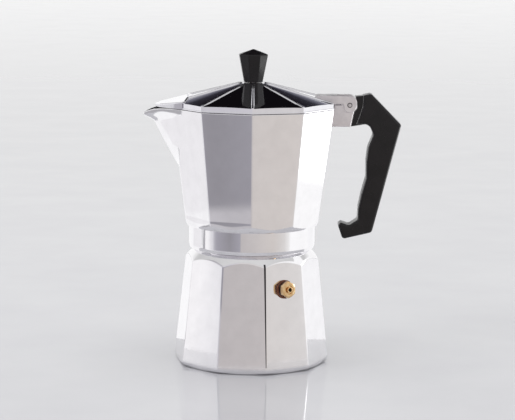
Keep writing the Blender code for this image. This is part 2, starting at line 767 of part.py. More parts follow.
def collector_shell():
    """Return the closed shell of the collector, from its collar over the rim to its floor."""
    plan = collector_ring(BELLY_TOP_Z)
    angles = angles_of(plan)
    rings = [
        ring_like(plan, COLLAR_CREST_R + 0.6, COLLAR_BOTTOM_Z),
        ring_like(plan, COLLAR_R - COLLAR_LIP, COLLAR_BOTTOM_Z),
        ring_like(plan, COLLAR_R, COLLAR_BOTTOM_Z + COLLAR_LIP_H),
        ring_like(plan, COLLAR_R, COLLAR_TOP_Z),
    ]
    flat = [p.xy for p in plan]
    rings += bowl_rings(flat, BELLY_R, COLLAR_TOP_Z, BELLY_TOP_Z - COLLAR_TOP_Z, 4)
    climb = RIM_Z - SPOUT_ROOT_Z
    heights = [SPOUT_ROOT_Z + climb * s for s in (0.0, 0.3, 0.6, 0.75, 0.85, 0.93, 1.0)]
    rings += [collector_ring(z) for z in heights]
    rings += [collector_ring(z, COLLECTOR_WALL) for z in reversed(heights)]
    inner_low = FLOOR_Z + 5.0
    low_ring = collector_ring(inner_low, COLLECTOR_WALL)
    rings.append(low_ring)
    floor_r = min(p.xy.length for p in low_ring) - 5.0
    rings.append([p - Vector((*(p.xy.normalized() * 1.5), 3.5)) for p in low_ring])
    rings += [
        ring_like(plan, floor_r, FLOOR_Z),
        ring_like(plan, COLUMN_FOOT_R + GAP, FLOOR_Z),
        ring_like(plan, COLUMN_FOOT_R + GAP, FLOOR_UNDER_Z),
        ring_like(plan, PLATE_RECESS_R, FLOOR_UNDER_Z),
        ring_like(plan, PLATE_RECESS_R, GASKET_TOP_Z + GAP),
        ring_like(plan, RECESS_R, GASKET_TOP_Z + GAP),
        ring_like(plan, RECESS_R, THREAD_END_Z + 0.8),
    ]
    rings += thread_rings(angles, COLLAR_CREST_R)[::-1]
    return loft(rings, closed=True)


def lug_outline():
    """Return the side view of the hinge lug."""
    end_x = PIN_X + LUG_END_R * 0.6
    foot_x = end_x - LUG_END_LEAN * (PIN_Z - LUG_END_R - LUG_BOTTOM_Z)
    top_z = PIN_Z + LUG_END_R
    return rounded([
        (RIM_R - 8.0, LUG_BOTTOM_Z, 0.0),
        (foot_x, LUG_BOTTOM_Z, 0.8),
        (end_x + 0.3, PIN_Z - LUG_END_R, 1.5),
        (PIN_X + LUG_END_R, PIN_Z - LUG_END_R * 0.5, 2.0),
        (PIN_X + LUG_END_R, top_z, LUG_END_R * 0.9),
        (PIN_X - LUG_END_R, top_z, LUG_END_R * 0.6),
        (PIN_X - LUG_END_R - 1.5, RIM_Z - 0.6, 0.0),
        (RIM_R - 4.0, RIM_Z - 0.6, 0.0),
        (RIM_R - 8.0, RIM_Z - 12.0, 0.0),
    ])


def pin_hole_tool(name):
    """Return a cutter for the hinge pin's hole."""
    turn = Matrix.Rotation(math.radians(90.0), 4, "X")
    hole = place(cylinder(PIN_R + GAP, -12.0, 12.0), Matrix.Translation((PIN_X, 0.0, PIN_Z)) @ turn)
    return mesh_object(name, hole)


def build_collector(aluminium):
    """Make the collector with its spout, hinge lug and threaded collar."""
    collector = mesh_object("collector", collector_shell(), aluminium)
    lug = mesh_object("lug_tool", plate(lug_outline(), -LUG_HALF, LUG_HALF))
    inside = mesh_object("lug_trim_tool", loft([
        level(plain_plan(inset(corner_points(collector_corner_r(z), FACET / 2.0), COLLECTOR_WALL / 2.0)), z)
        for z in (LUG_BOTTOM_Z - 20.0, RIM_Z + 10.0)
    ]))
    combine(lug, inside, "DIFFERENCE")
    combine(collector, lug, "UNION")
    slot = block(
        (SLOT_FLOOR_X, -SLOT_HALF, LUG_BOTTOM_Z + 3.0),
        (PIN_X + 12.0, SLOT_HALF, PIN_Z + 12.0),
    )
    combine(collector, mesh_object("slot_tool", slot), "DIFFERENCE")
    combine(collector, pin_hole_tool("lug_hole_tool"), "DIFFERENCE")
    return collector


def build_column(aluminium):
    """Make the hollow column with two outlet slots under its domed top."""
    flange_z = FLOOR_Z + GAP
    profile = [
        (COLUMN_BORE_R, FLOOR_UNDER_Z),
        (COLUMN_FOOT_R, FLOOR_UNDER_Z),
        (COLUMN_FOOT_R, flange_z),
        (COLUMN_FLANGE_R, flange_z),
        (COLUMN_FLANGE_R, flange_z + COLUMN_FLANGE_H),
        (COLUMN_FOOT_R, flange_z + COLUMN_FLANGE_H + 0.8),
        (COLUMN_TOP_R, COLUMN_TOP_Z - 2.0),
        (COLUMN_TOP_R * 0.6, COLUMN_TOP_Z),
        (COLUMN_BORE_R * 0.4, COLUMN_TOP_Z),
        (COLUMN_BORE_R, COLUMN_TOP_Z - 4.0),
    ]
    column = mesh_object("column", turned(profile, 24), aluminium)
    slot_top = COLUMN_TOP_Z - 5.0
    slot = block(
        (-COLUMN_FOOT_R, -COLUMN_SLOT_W / 2.0, slot_top - COLUMN_SLOT_H),
        (COLUMN_FOOT_R, COLUMN_SLOT_W / 2.0, slot_top),
    )
    combine(column, mesh_object("column_slot_tool", slot), "DIFFERENCE")
    return column


# ---------------------------------------------------------------- lid

def lid_plan(radius_scale, distance=0.0):
    """Return the lid's plan points, four to a rib, at a share of the rim's size."""
    corners = inset(corner_points(RIM_R * radius_scale, FACET / 2.0), distance)
    points = []
    for i, corner in enumerate(corners):
        before = (corners[i - 1] - corner).normalized()
        after = (corners[(i + 1) % SIDES] - corner).normalized()
        reach = min(1.0, (corners[0] - corners[1]).length / (4.0 * RIB_HALF))
        points += [
            corner + before * RIB_HALF * reach,
            corner + before * RIB_TOP_HALF * reach,
            corner + after * RIB_TOP_HALF * reach,
            corner + after * RIB_HALF * reach,
        ]
    return points


def lid_ring(radius_scale, z, rib=0.0, distance=0.0):
    """Return one ring of the lid; the middle two points of each four stand up as a rib."""
    ring = []
    for i, point in enumerate(lid_plan(radius_scale, distance)):
        raised = rib if i % 4 in (1, 2) else 0.0
        ring.append(Vector((point.x, point.y, z + raised)))
    return ring


def lid_outside():
    """Return the solid shape of the ribbed dome, from its lower edge to the knob's seat."""
    seat = LID_SEAT_R / RIM_R
    mid_z = dome_height(LID_MID)
    plan = lid_plan(1.0)
    return loft([
        lid_ring(1.0, LID_Z),
        lid_ring(1.0, LID_EDGE_Z),
        lid_ring(1.0 - 0.3 / RIM_R, LID_EDGE_Z + 0.1, RIB_HEIGHT),
        lid_ring(LID_MID, mid_z, RIB_HEIGHT),
        ring_like(plan, seat * RIM_R, LID_SEAT_Z),
    ])


def dome_height(share):
    """Return the dome's height where a ring is a share of the rim's size."""
    seat = LID_SEAT_R / RIM_R
    return LID_EDGE_Z + (LID_SEAT_Z - LID_EDGE_Z) * (1.0 - share) / (1.0 - seat)


def lid_hollow():
    """Return the hollow under the dome."""
    plan = lid_plan(1.0)
    return loft([
        lid_ring(1.0, LID_Z - 3.0, 0.0, LID_WALL),
        lid_ring(1.0, LID_EDGE_Z - LID_WALL + 0.4, 0.0, LID_WALL + 0.6),
        lid_ring(LID_MID, dome_height(LID_MID) - LID_WALL),
        ring_like(plan, LID_SEAT_R, LID_SEAT_Z - LID_WALL),
    ])


def spout_wedge(shift, name):
    """Return the cutter that opens the dome over the spout, moved along X by a shift."""
    seam = collector_corners(RIM_Z)[4]
    centre = Vector((-COVER_INNER_X, 0.0))
    left = centre + (Vector((seam.x, seam.y)) - centre) * 1.3
    right = Vector((left.x, -left.y))
    far = -SPOUT_TIP_X - 10.0
    plan = [centre, left, Vector((far, left.y)), Vector((far, right.y)), right]
    heights = (LID_Z - 5.0, LID_SEAT_Z + 5.0)
    return mesh_object(name, loft([[Vector((p.x + shift, p.y, z)) for p in plan] for z in heights]))


def cover_height(x):
    """Return the top of the spout cover at a place along X."""
    return LID_Z + COVER_NOSE_RISE + COVER_SLOPE * (x + COVER_NOSE_X)


def spout_side(x):
    """Return how far the spout's rim stands from the middle plane at a place along X."""
    seam = collector_corners(RIM_Z)[4]
    tip = -SPOUT_TIP_X
    return seam.y * (x - tip) / (seam.x - tip)


def cover_outline():
    """Return the plan of the spout cover, from its blunt nose back under the dome."""
    seam = inset(collector_corners(RIM_Z), 0.1)[4]
    corner_y = spout_side(-COVER_CORNER_X)
    return rounded([
        (seam.x, -seam.y, 0.0),
        (-COVER_INNER_X + LID_WALL * 0.6, 0.0, 0.0),
        (seam.x, seam.y, 0.0),
        (-COVER_CORNER_X, corner_y, 2.0),
        (-COVER_NOSE_X, 0.0, 14.0),
        (-COVER_CORNER_X, -corner_y, 2.0),
    ])


def build_lid(aluminium):
    """Make the lid: ribbed dome, spout cover and the two hinge cheeks."""
    lid = mesh_object("lid", lid_outside(), aluminium)
    combine(lid, spout_wedge(0.0, "dome_end_tool"), "DIFFERENCE")
    outline = cover_outline()
    cover = loft([
        [Vector((p.x, p.y, LID_Z + 0.05)) for p in outline],
        [Vector((p.x, p.y, cover_height(p.x))) for p in outline],
    ])
    combine(lid, mesh_object("cover_tool", cover), "UNION")

    web_start = RIM_R * HALF_FACET_COS - 12.0
    web_bottom = LID_EDGE_Z - LID_WALL + 0.6
    web = block((web_start, -CHEEK_OUTER, web_bottom), (WEB_END_X, CHEEK_OUTER, CHEEK_TOP_Z))
    combine(lid, mesh_object("web_tool", web), "UNION")
    cheek = rounded([
        (WEB_END_X - 4.0, CHEEK_BOTTOM_Z + 0.2, 0.0),
        (PIN_X - CHEEK_END_R + 0.4, CHEEK_BOTTOM_Z, 0.0),
        (PIN_X - CHEEK_END_R + 1.8, PIN_Z - CHEEK_END_R, 2.0),
        (PIN_X + CHEEK_END_R, PIN_Z - CHEEK_END_R, CHEEK_END_R * 0.95),
        (PIN_X + CHEEK_END_R, CHEEK_TOP_Z, CHEEK_END_R * 0.95),
        (WEB_END_X - 4.0, CHEEK_TOP_Z - 0.2, 0.0),
    ])
    for name, side in (("near", -1.0), ("far", 1.0)):
        low, high = sorted((side * CHEEK_INNER, side * (CHEEK_OUTER - 0.05)))
        combine(lid, mesh_object(name + "_cheek_tool", plate(cheek, low, high)), "UNION")
    hollow = mesh_object("lid_hollow_tool", lid_hollow())
    combine(hollow, spout_wedge(LID_WALL * 1.2, "hollow_end_tool"), "DIFFERENCE")
    combine(lid, hollow, "DIFFERENCE")
    screw_hole = cylinder(SCREW_R + GAP, LID_SEAT_Z - 10.0, LID_SEAT_Z + 5.0)
    combine(lid, mesh_object("screw_hole_tool", screw_hole), "DIFFERENCE")
    combine(lid, pin_hole_tool("cheek_hole_tool"), "DIFFERENCE")
    return lid


def build_hinge_pin(steel):
    """Make the pin on the lid's axis, with its origin in the middle of that axis."""
    length = CHEEK_OUTER + 0.4
    pin = mesh_object("hinge_pin", turned([
        (PIN_R - 0.3, -length),
        (PIN_R, -length + 0.3),
        (PIN_R, length - 0.3),
        (PIN_R - 0.3, length),
    ], SMALL_SEGMENTS, closed=False), steel)
    pin.location = (PIN_X * MM, 0.0, PIN_Z * MM)
    pin.rotation_euler = (math.radians(90.0), 0.0, 0.0)
    return pin


# ---------------------------------------------------------------- handle

def handle_outline():
    """Return the side view of the grip, with finger waves inside and a hooked end."""
    inner_x = PIN_X + NECK_SHOULDER
    return rounded([
        (inner_x + 0.2, PIN_Z + 7.1, 0.0),
        (PIN_X + 14.2, PIN_Z + 8.4, 2.4),
        (PIN_X + 33.9, PIN_Z - 13.4, 3.0),
        (PIN_X + 16.2, PIN_Z - 86.0, 3.0),
        (PIN_X - 3.5, PIN_Z - 90.7, 2.2),
        (PIN_X - 7.7, PIN_Z - 78.4, 2.1),
        (PIN_X + 0.8, PIN_Z - 81.2, 2.4),
        (PIN_X + 6.5, PIN_Z - 77.4, 3.0),
        (PIN_X + 6.7, PIN_Z - 69.4, 8.0),
        (PIN_X + 8.7, PIN_Z - 59.6, 14.0),
        (PIN_X + 11.7, PIN_Z - 48.6, 2.5),
        (PIN_X + 11.6, PIN_Z - 37.6, 6.0),
        (PIN_X + 12.6, PIN_Z - 28.8, 12.0),
        (PIN_X + 16.2, PIN_Z - 19.6, 5.0),
        (PIN_X + 13.0, PIN_Z - 12.8, 5.0),
        (inner_x - 4.2, PIN_Z - 12.9, 0.0),
        (inner_x - 1.4, PIN_Z - 5.2, 0.0),
        (inner_x, PIN_Z - 0.2, 0.0),
    ], steps=4)


def neck_outline():
    """Return the side view of the narrow neck between grip and lug."""
    lug_end = PIN_X + LUG_END_R + GAP
    return rounded([
        (PIN_X + 3.9, CHEEK_TOP_Z - 0.6, 0.0),
        (lug_end + 0.2, PIN_Z + 2.6, 0.0),
        (lug_end + 0.2, PIN_Z - 2.6, 0.0),
        (lug_end - 1.3, PIN_Z - LUG_END_R - 0.5, 0.0),
        (lug_end - 3.5, LUG_BOTTOM_Z + 0.3, 0.0),
        (PIN_X + 15.4, LUG_BOTTOM_Z + 2.6, 0.0),
        (PIN_X + 15.4, CHEEK_TOP_Z, 0.0),
        (PIN_X + 12.9, CHEEK_TOP_Z + 0.4, 0.0),
    ])


def tongue_outline():
    """Return the side view of the tongue inside the lug's slot."""
    low = LUG_BOTTOM_Z + 3.0 + GAP
    return rounded([
        (SLOT_FLOOR_X + GAP, low, 0.0),
        (PIN_X + 9.4, low, 0.0),
        (PIN_X + 9.4, PIN_Z + LUG_END_R - 0.4, 0.0),
        (SLOT_FLOOR_X + 3.2, PIN_Z + LUG_END_R - 0.4, 1.5),
        (SLOT_FLOOR_X + GAP, PIN_Z - 1.0, 0.0),
    ])


def build_handle(plastic):
    """Make the handle: grip, neck and the tongue that the hinge pin holds."""
    grip = softened_plate(handle_outline(), HANDLE_HALF, HANDLE_BEVEL)
    handle = mesh_object("handle", grip, plastic)
    neck_half = LUG_HALF - GAP
    neck = mesh_object("neck_tool", plate(neck_outline(), -neck_half, neck_half))
    tongue_half = SLOT_HALF - GAP
    tongue = mesh_object("tongue_tool", plate(tongue_outline(), -tongue_half, tongue_half))
    combine(handle, neck, "UNION")
    combine(handle, tongue, "UNION")
    combine(handle, pin_hole_tool("tongue_hole_tool"), "DIFFERENCE")
    return handle


# ---------------------------------------------------------------- knob

def build_knob(plastic, brass, steel):
    """Make the eight-sided knob, its insert, and the screw and washer below the lid."""
    base_z = LID_SEAT_Z + GAP
    bore_r = INSERT_R + GAP
    bore_top = base_z + INSERT_LENGTH + 2.0 * GAP
    rings = [
        circle(bore_r, bore_top, KNOB_SIDES * 2, KNOB_TURN),
        circle(bore_r, base_z, KNOB_SIDES * 2, KNOB_TURN),
    ]
    for radius, z in (
        (KNOB_BASE_R, base_z),
        (KNOB_TOP_R - 0.1, KNOB_SHOULDER_Z - 0.6),
        (KNOB_TOP_R - 0.5, KNOB_SHOULDER_Z),
        (0.5, KNOB_APEX_Z),
    ):
        eight = circle(radius, z, KNOB_SIDES, KNOB_TURN)
        ring = []
        for i, point in enumerate(eight):
            ring += [point, point.lerp(eight[(i + 1) % KNOB_SIDES], 0.5)]
        rings.append(ring)
    mesh_object("knob", loft(rings), plastic)

    insert_low = base_z + GAP
    mesh_object("knob_insert", turned([
        (SCREW_R + GAP, insert_low),
        (INSERT_R, insert_low),
        (INSERT_R, insert_low + INSERT_LENGTH - GAP),
        (SCREW_R + GAP, insert_low + INSERT_LENGTH - GAP),
    ], SMALL_SEGMENTS), brass)

    washer_top = LID_SEAT_Z - LID_WALL - GAP
    washer_low = washer_top - WASHER_T
    mesh_object("knob_washer", turned([
        (SCREW_R + GAP, washer_low),
        (WASHER_R, washer_low),
        (WASHER_R, washer_top),
        (SCREW_R + GAP, washer_top),
    ], SMALL_SEGMENTS), steel)

    head_top = washer_low - GAP
    screw = mesh_object("knob_screw", turned([
        (SCREW_HEAD_R * 0.6, head_top - SCREW_HEAD_H),
        (SCREW_HEAD_R, head_top - SCREW_HEAD_H * 0.5),
        (SCREW_HEAD_R, head_top),
        (SCREW_R, head_top),
        (SCREW_R, insert_low + INSERT_LENGTH - 1.5),
    ], SMALL_SEGMENTS, closed=False), steel)
    arms = block(
        (-0.5, -2.0, head_top - SCREW_HEAD_H - 1.0),
        (0.5, 2.0, head_top - SCREW_HEAD_H + 1.2),
    )
    combine(screw, mesh_object("screw_slot_tool", arms), "DIFFERENCE")


# ---------------------------------------------------------------- assembly

def main():
    """Build every piece of the pot."""
    clear_scene()
    aluminium = make_material("polished_aluminium", (0.80, 0.80, 0.81), 1.0, 0.12)
    sheet = make_material("pressed_aluminium", (0.74, 0.74, 0.75), 1.0, 0.30)
    brass = make_material("brass", (0.76, 0.56, 0.24), 1.0, 0.25)
    steel = make_material("steel", (0.62, 0.62, 0.63), 1.0, 0.28)
    plastic = make_material("black_plastic", (0.02, 0.02, 0.022), 0.0, 0.35)
    silicone = make_material("silicone", (0.85, 0.85, 0.82), 0.0, 0.55)
    fibre = make_material("fibre_seal", (0.30, 0.12, 0.07), 0.0, 0.7)

    build_boiler(aluminium)
    build_valve(brass, steel, fibre)
    build_funnel(sheet)
    build_seal_stack(silicone, sheet)
    build_collector(aluminium)
    build_column(aluminium)
    build_lid(aluminium)
    build_hinge_pin(steel)
    build_handle(plastic)
    build_knob(plastic, brass, steel)


main()
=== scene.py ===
"""Looks of a stovetop moka pot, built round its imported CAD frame.

Sizes are millimetres unless a name says otherwise, and turn to metres once, when
a mesh is made. +Z is up along the pot, +X points at the handle, -X at the spout.
"""

import logging
import math
from dataclasses import dataclass, field
from enum import Enum
from typing import Any, Iterable, Sequence

import bmesh
import bpy
import numpy as np
from mathutils import Matrix, Vector


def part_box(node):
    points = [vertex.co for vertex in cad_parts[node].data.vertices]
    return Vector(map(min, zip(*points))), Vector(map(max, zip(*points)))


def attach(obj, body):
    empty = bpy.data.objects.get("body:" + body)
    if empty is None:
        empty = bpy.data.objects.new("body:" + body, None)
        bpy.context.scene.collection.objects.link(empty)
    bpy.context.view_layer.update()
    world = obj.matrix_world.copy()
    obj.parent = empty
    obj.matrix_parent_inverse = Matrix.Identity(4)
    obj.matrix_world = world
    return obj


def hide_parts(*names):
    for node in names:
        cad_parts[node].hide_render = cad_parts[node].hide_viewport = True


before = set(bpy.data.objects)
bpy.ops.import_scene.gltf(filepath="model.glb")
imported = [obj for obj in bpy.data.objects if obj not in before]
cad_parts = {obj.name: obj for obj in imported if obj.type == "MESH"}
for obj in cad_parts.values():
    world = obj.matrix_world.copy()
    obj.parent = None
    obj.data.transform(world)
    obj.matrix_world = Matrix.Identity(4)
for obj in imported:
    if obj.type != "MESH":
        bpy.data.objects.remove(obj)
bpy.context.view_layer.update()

LOG = logging.getLogger("moka_pot")
MM = 0.001
SIDES = 10
FACET = 2.0 * math.pi / SIDES
HALF_FACET_COS = math.cos(FACET / 2.0)
SMOOTH_LIMIT = math.radians(48.0)
CAD_SMOOTH_LIMIT = math.radians(32.0)
BOILER_TURN = math.radians(281.4)    # direction of the boiler's foremost edge

WAVE_RINGS = 20.0                    # rings of a wave texture in each unit of its scale
NOISE_LOW, NOISE_HIGH = 0.3, 0.7     # the span where most of a noise's values lie

Ring = np.ndarray
NodeSpec = dict[str, Any]


class Body(Enum):
    """The CAD bodies that the new pieces ride on."""

    BOILER = "boiler"
    COLLECTOR = "collector"
    LID = "lid"


class Slot(Enum):
    """The record's material slots; the new pieces don't take their finish from them."""

    POLISHED = "polished_aluminium"
    LID = "lid_aluminium"
    CAST = "cast_aluminium"
    BRASS = "brass"
    PLASTIC = "black_plastic"


class Grain(Enum):
    """Which way the fine marks of a finish run."""

    UPRIGHT = (1.0, 1.0, 0.06)
    ROUND = (1.0, 1.0, 1.0)
    LEVEL = (0.06, 1.0, 1.0)


# ---------------------------------------------------------------- small tools

def linear(hex_code: str) -> tuple[float, float, float, float]:
    """Turn an sRGB hex colour to linear RGBA.

    Args:
        hex_code: six hex digits after a hash sign.

    Returns:
        Red, green, blue and an alpha of one.
    """
    values = [int(hex_code[i:i + 2], 16) / 255.0 for i in (1, 3, 5)]
    parts = [v / 12.92 if v <= 0.04045 else ((v + 0.055) / 1.055) ** 2.4 for v in values]
    return (parts[0], parts[1], parts[2], 1.0)


def add(tree: bpy.types.NodeTree, kind: str, inputs: NodeSpec | None = None,
        stops: Sequence[tuple[float, str | float]] = (), **settings: Any) -> bpy.types.Node:
    """Add a node with its settings and links.

    Args:
        tree: the node tree that gets the node.
        kind: the node's type name.
        inputs: socket name or index to a value, or to an output socket to link from.
        stops: a colour ramp's places from 0 to 1, each with a hex colour or a grey level.
        **settings: attributes of the node itself.

    Returns:
        The new node.
    """
    node = tree.nodes.new(kind)
    for name, value in settings.items():
        setattr(node, name, value)
    for name, value in (inputs or {}).items():
        if isinstance(value, bpy.types.NodeSocket):
            tree.links.new(value, node.inputs[name])
        else:
            node.inputs[name].default_value = value
    for index, (place, colour) in enumerate(stops):
        elements = node.color_ramp.elements
        element = elements[index] if index < len(elements) else elements.new(place)
        element.position = place
        element.color = linear(colour) if isinstance(colour, str) else (colour,) * 3 + (1.0,)
    return node


def new_material(name: str, **values: float) -> bpy.types.Material:
    """Make a node material.

    Args:
        name: the material's name.
        **values: its shader's even values, by socket name with underscores for spaces.

    Returns:
        The material.
    """
    material = bpy.data.materials.new(name)
    material.use_nodes = True
    for socket, value in values.items():
        shader = material.node_tree.nodes["Principled BSDF"]
        shader.inputs[socket.replace("_", " ")].default_value = value
    return material


def circle_like(ring: Ring, radius: float, z: float) -> Ring:
    """Return a level circle whose points have the directions of another ring's."""
    flat = ring[:, :2]
    spread = flat / np.linalg.norm(flat, axis=1, keepdims=True) * radius
    return np.column_stack((spread, np.full(len(ring), z)))


def level_circle(radius: float, z: float, count: int = 64, turn: float = 0.0) -> Ring:
    """Return the points of a level circle."""
    angles = turn + 2.0 * math.pi * np.arange(count) / count
    return np.column_stack((radius * np.cos(angles), radius * np.sin(angles), np.full(count, z)))


def rounded_plan(corners: np.ndarray, cuts: Sequence[float], z: float,
                 bend: int = 4, flats: int = 10) -> Ring:
    """Return a level ring along a plan outline with eased corners.

    Args:
        corners: the plan's corners, one row each.
        cuts: how far each corner's easing reaches along its two edges.
        z: the ring's height.
        bend: steps across each eased corner.
        flats: points inside each straight stretch.

    Returns:
        The ring's points, with the same count for every outline of equal corners.
    """
    points: list[np.ndarray] = []
    count = len(corners)
    ends = []
    for i in range(count):
        back = corners[i - 1] - corners[i]
        ahead = corners[(i + 1) % count] - corners[i]
        start = corners[i] + back / np.linalg.norm(back) * cuts[i]
        end = corners[i] + ahead / np.linalg.norm(ahead) * cuts[i]
        ends.append((start, end))
    for i in range(count):
        start, end = ends[i]
        for k in range(bend + 1):
            t = k / bend
            points.append((1 - t) ** 2 * start + 2 * t * (1 - t) * corners[i] + t * t * end)
        following = ends[(i + 1) % count][0]
        for k in range(1, flats + 1):
            points.append(end + (following - end) * k / (flats + 1))
    plan = np.array(points)
    return np.column_stack((plan, np.full(len(plan), z)))


def regular(radius: float, turn: float, sides: int = SIDES) -> np.ndarray:
    """Return the plan corners of a regular shape."""
    angles = turn + 2.0 * math.pi * np.arange(sides) / sides
    return np.column_stack((radius * np.cos(angles), radius * np.sin(angles)))


def inset(corners: np.ndarray, distance: float) -> np.ndarray:
    """Move a plan outline inward.

    Args:
        corners: the outline's corners, counter-clockwise.
        distance: how far each side moves.

    Returns:
        The new corners.
    """
    before = corners - np.roll(corners, 1, axis=0)
    after = np.roll(corners, -1, axis=0) - corners
    before = before / np.linalg.norm(before, axis=1, keepdims=True)
    after = after / np.linalg.norm(after, axis=1, keepdims=True)
    first = np.column_stack((-before[:, 1], before[:, 0]))
    second = np.column_stack((-after[:, 1], after[:, 0]))
    scale = distance / (1.0 + np.sum(first * second, axis=1, keepdims=True))
    return corners + (first + second) * scale


def soften(rings: Sequence[Ring], widths: Sequence[float], steps: int = 4) -> list[Ring]:
    """Round the edges that run along some rings of a loft.

    Args:
        rings: the loft's rings in order.
        widths: how far the rounding reaches on both sides of each ring; 0 keeps it sharp.
        steps: how many strips each rounding gets.

    Returns:
        The rings with each softened one turned to several.
    """
    out: list[Ring] = []
    for i, ring in enumerate(rings):
        if widths[i] <= 0.0 or i in (0, len(rings) - 1):
            out.append(ring)
            continue
        back = rings[i - 1] - ring
        ahead = rings[i + 1] - ring
        back_length = np.maximum(np.linalg.norm(back, axis=1, keepdims=True), 1e-6)
        ahead_length = np.maximum(np.linalg.norm(ahead, axis=1, keepdims=True), 1e-6)
        start = ring + back / back_length * np.minimum(widths[i], back_length * 0.48)
        end = ring + ahead / ahead_length * np.minimum(widths[i], ahead_length * 0.48)
        for k in range(steps + 1):
            t = k / steps
            out.append((1 - t) ** 2 * start + 2 * t * (1 - t) * ring + t * t * end)
    return out


def bowl(inner: Ring, outer: Ring, steps: int = 7) -> list[Ring]:
    """Swell from a lower ring out and up into another.

    Args:
        inner: the lower ring.
        outer: the upper, wider one.
        steps: how many strips lie between them.

    Returns:
        The rings between the two, ends left out.
    """
    rings = []
    for step in range(1, steps):
        angle = math.pi / 2.0 * step / steps
        plan = inner[:, :2] + (outer[:, :2] - inner[:, :2]) * math.sin(angle)
        z = inner[:, 2] + (outer[:, 2] - inner[:, 2]) * (1.0 - math.cos(angle))
        rings.append(np.column_stack((plan, z)))
    return rings


def between(low: Ring, high: Ring, shares: Iterable[float]) -> list[Ring]:
    """Return rings part of the way from one ring to another."""
    return [low + (high - low) * share for share in shares]


def loft_mesh(name: str, rings: Sequence[Ring], closed: bool = False) -> bpy.types.Mesh:
    """Skin a list of equal rings to a mesh in metres.

    Args:
        name: the mesh's name.
        rings: the rings in order.
        closed: whether the last ring joins the first; if not, both ends are capped.

    Returns:
        The mesh, with outward normals and smooth shading that stays sharp on hard edges.
    """
    count = len(rings[0])
    total = len(rings)
    vertices = np.concatenate(rings) * MM
    index = np.arange(count)
    following = (index + 1) % count
    faces: list[list[int]] = []
    for row in range(total if closed else total - 1):
        low = row * count
        high = ((row + 1) % total) * count
        strip = np.column_stack((low + index, low + following, high + following, high + index))
        faces += strip.tolist()
    if not closed:
        faces.append(index[::-1].tolist())
        faces.append(((total - 1) * count + index).tolist())
    mesh = bpy.data.meshes.new(name)
    mesh.from_pydata(vertices.tolist(), [], faces)
    finish_mesh(mesh)
    return mesh


def finish_mesh(mesh: bpy.types.Mesh, limit: float = SMOOTH_LIMIT) -> None:
    """Weld a mesh, turn its normals out and shade it smooth between its hard edges.

    Args:
        mesh: the mesh, in metres.
        limit: the angle in radians from which an edge is hard.
    """
    shape = bmesh.new()
    shape.from_mesh(mesh)
    bmesh.ops.remove_doubles(shape, verts=shape.verts[:], dist=2e-6)
    bmesh.ops.recalc_face_normals(shape, faces=shape.faces[:])
    shape.to_mesh(mesh)
    shape.free()
    mesh.shade_smooth()
    mesh.set_sharp_from_angle(angle=limit)


def join_meshes(name: str, meshes: Sequence[bpy.types.Mesh]) -> bpy.types.Mesh:
    """Put several meshes into one.

    Args:
        name: the new mesh's name.
        meshes: the parts, which are dropped.

    Returns:
        The joined mesh.
    """
    shape = bmesh.new()
    for mesh in meshes:
        shape.from_mesh(mesh)
    joined = bpy.data.meshes.new(name)
    shape.to_mesh(joined)
    shape.free()
    for mesh in meshes:
        bpy.data.meshes.remove(mesh)
    return joined


def outline_arcs(corners: Sequence[tuple[float, float, float]], steps: int = 8) -> np.ndarray:
    """Round the corners of a side view.

    Args:
        corners: its (x, z, radius) corners; a radius of 0 stays sharp.
        steps: strips for each quarter turn of an arc.

    Returns:
        The outline's points, one row each.
    """
    result: list[Vector] = []
    count = len(corners)
    for i, (x, z, radius) in enumerate(corners):
        here = Vector((x, z))
        back = (Vector(corners[i - 1][:2]) - here).normalized()
        ahead = (Vector(corners[(i + 1) % count][:2]) - here).normalized()
        half = back.angle(ahead) / 2.0
        if radius <= 0.0 or math.pi / 2.0 - half < math.radians(1.0):
            result.append(here)
            continue
        centre = here + (back + ahead).normalized() * radius / math.sin(half)
        start = here + back * radius / math.tan(half) - centre
        end = here + ahead * radius / math.tan(half) - centre
        sweep = start.angle_signed(end)
        parts = max(3, round(steps * abs(sweep) / (math.pi / 2.0)) + 1)
        for k in range(parts):
            turn = -sweep * k / (parts - 1)
            result.append(centre + start @ Matrix.Rotation(turn, 2).transposed())
    return np.array([tuple(p) for p in result])


def slab_rings(outline: np.ndarray, low: float, high: float, bevel: float,
               steps: int = 6) -> list[Ring]:
    """Return rings that extrude an (x, z) outline along Y with rounded edges.

    Args:
        outline: the side view's points.
        low: the nearer side's y.
        high: the farther side's y.
        bevel: radius of the edges.
        steps: strips across each edge.

    Returns:
        The rings from one side to the other.
    """
    area = np.sum(outline[:, 0] * np.roll(outline[:, 1], -1)
                  - outline[:, 1] * np.roll(outline[:, 0], -1))
    ordered = outline if area > 0.0 else outline[::-1]
    rings = []
    for side in (0, 1):
        stages = range(steps + 1) if side == 0 else range(steps, -1, -1)
        for stage in stages:
            angle = math.pi / 2.0 * stage / steps
            flat = inset(ordered, bevel * (1.0 - math.sin(angle)))
            rise = bevel * (1.0 - math.cos(angle))
            y = low + rise if side == 0 else high - rise
            rings.append(np.column_stack((flat[:, 0], np.full(len(flat), y), flat[:, 1])))
    return rings


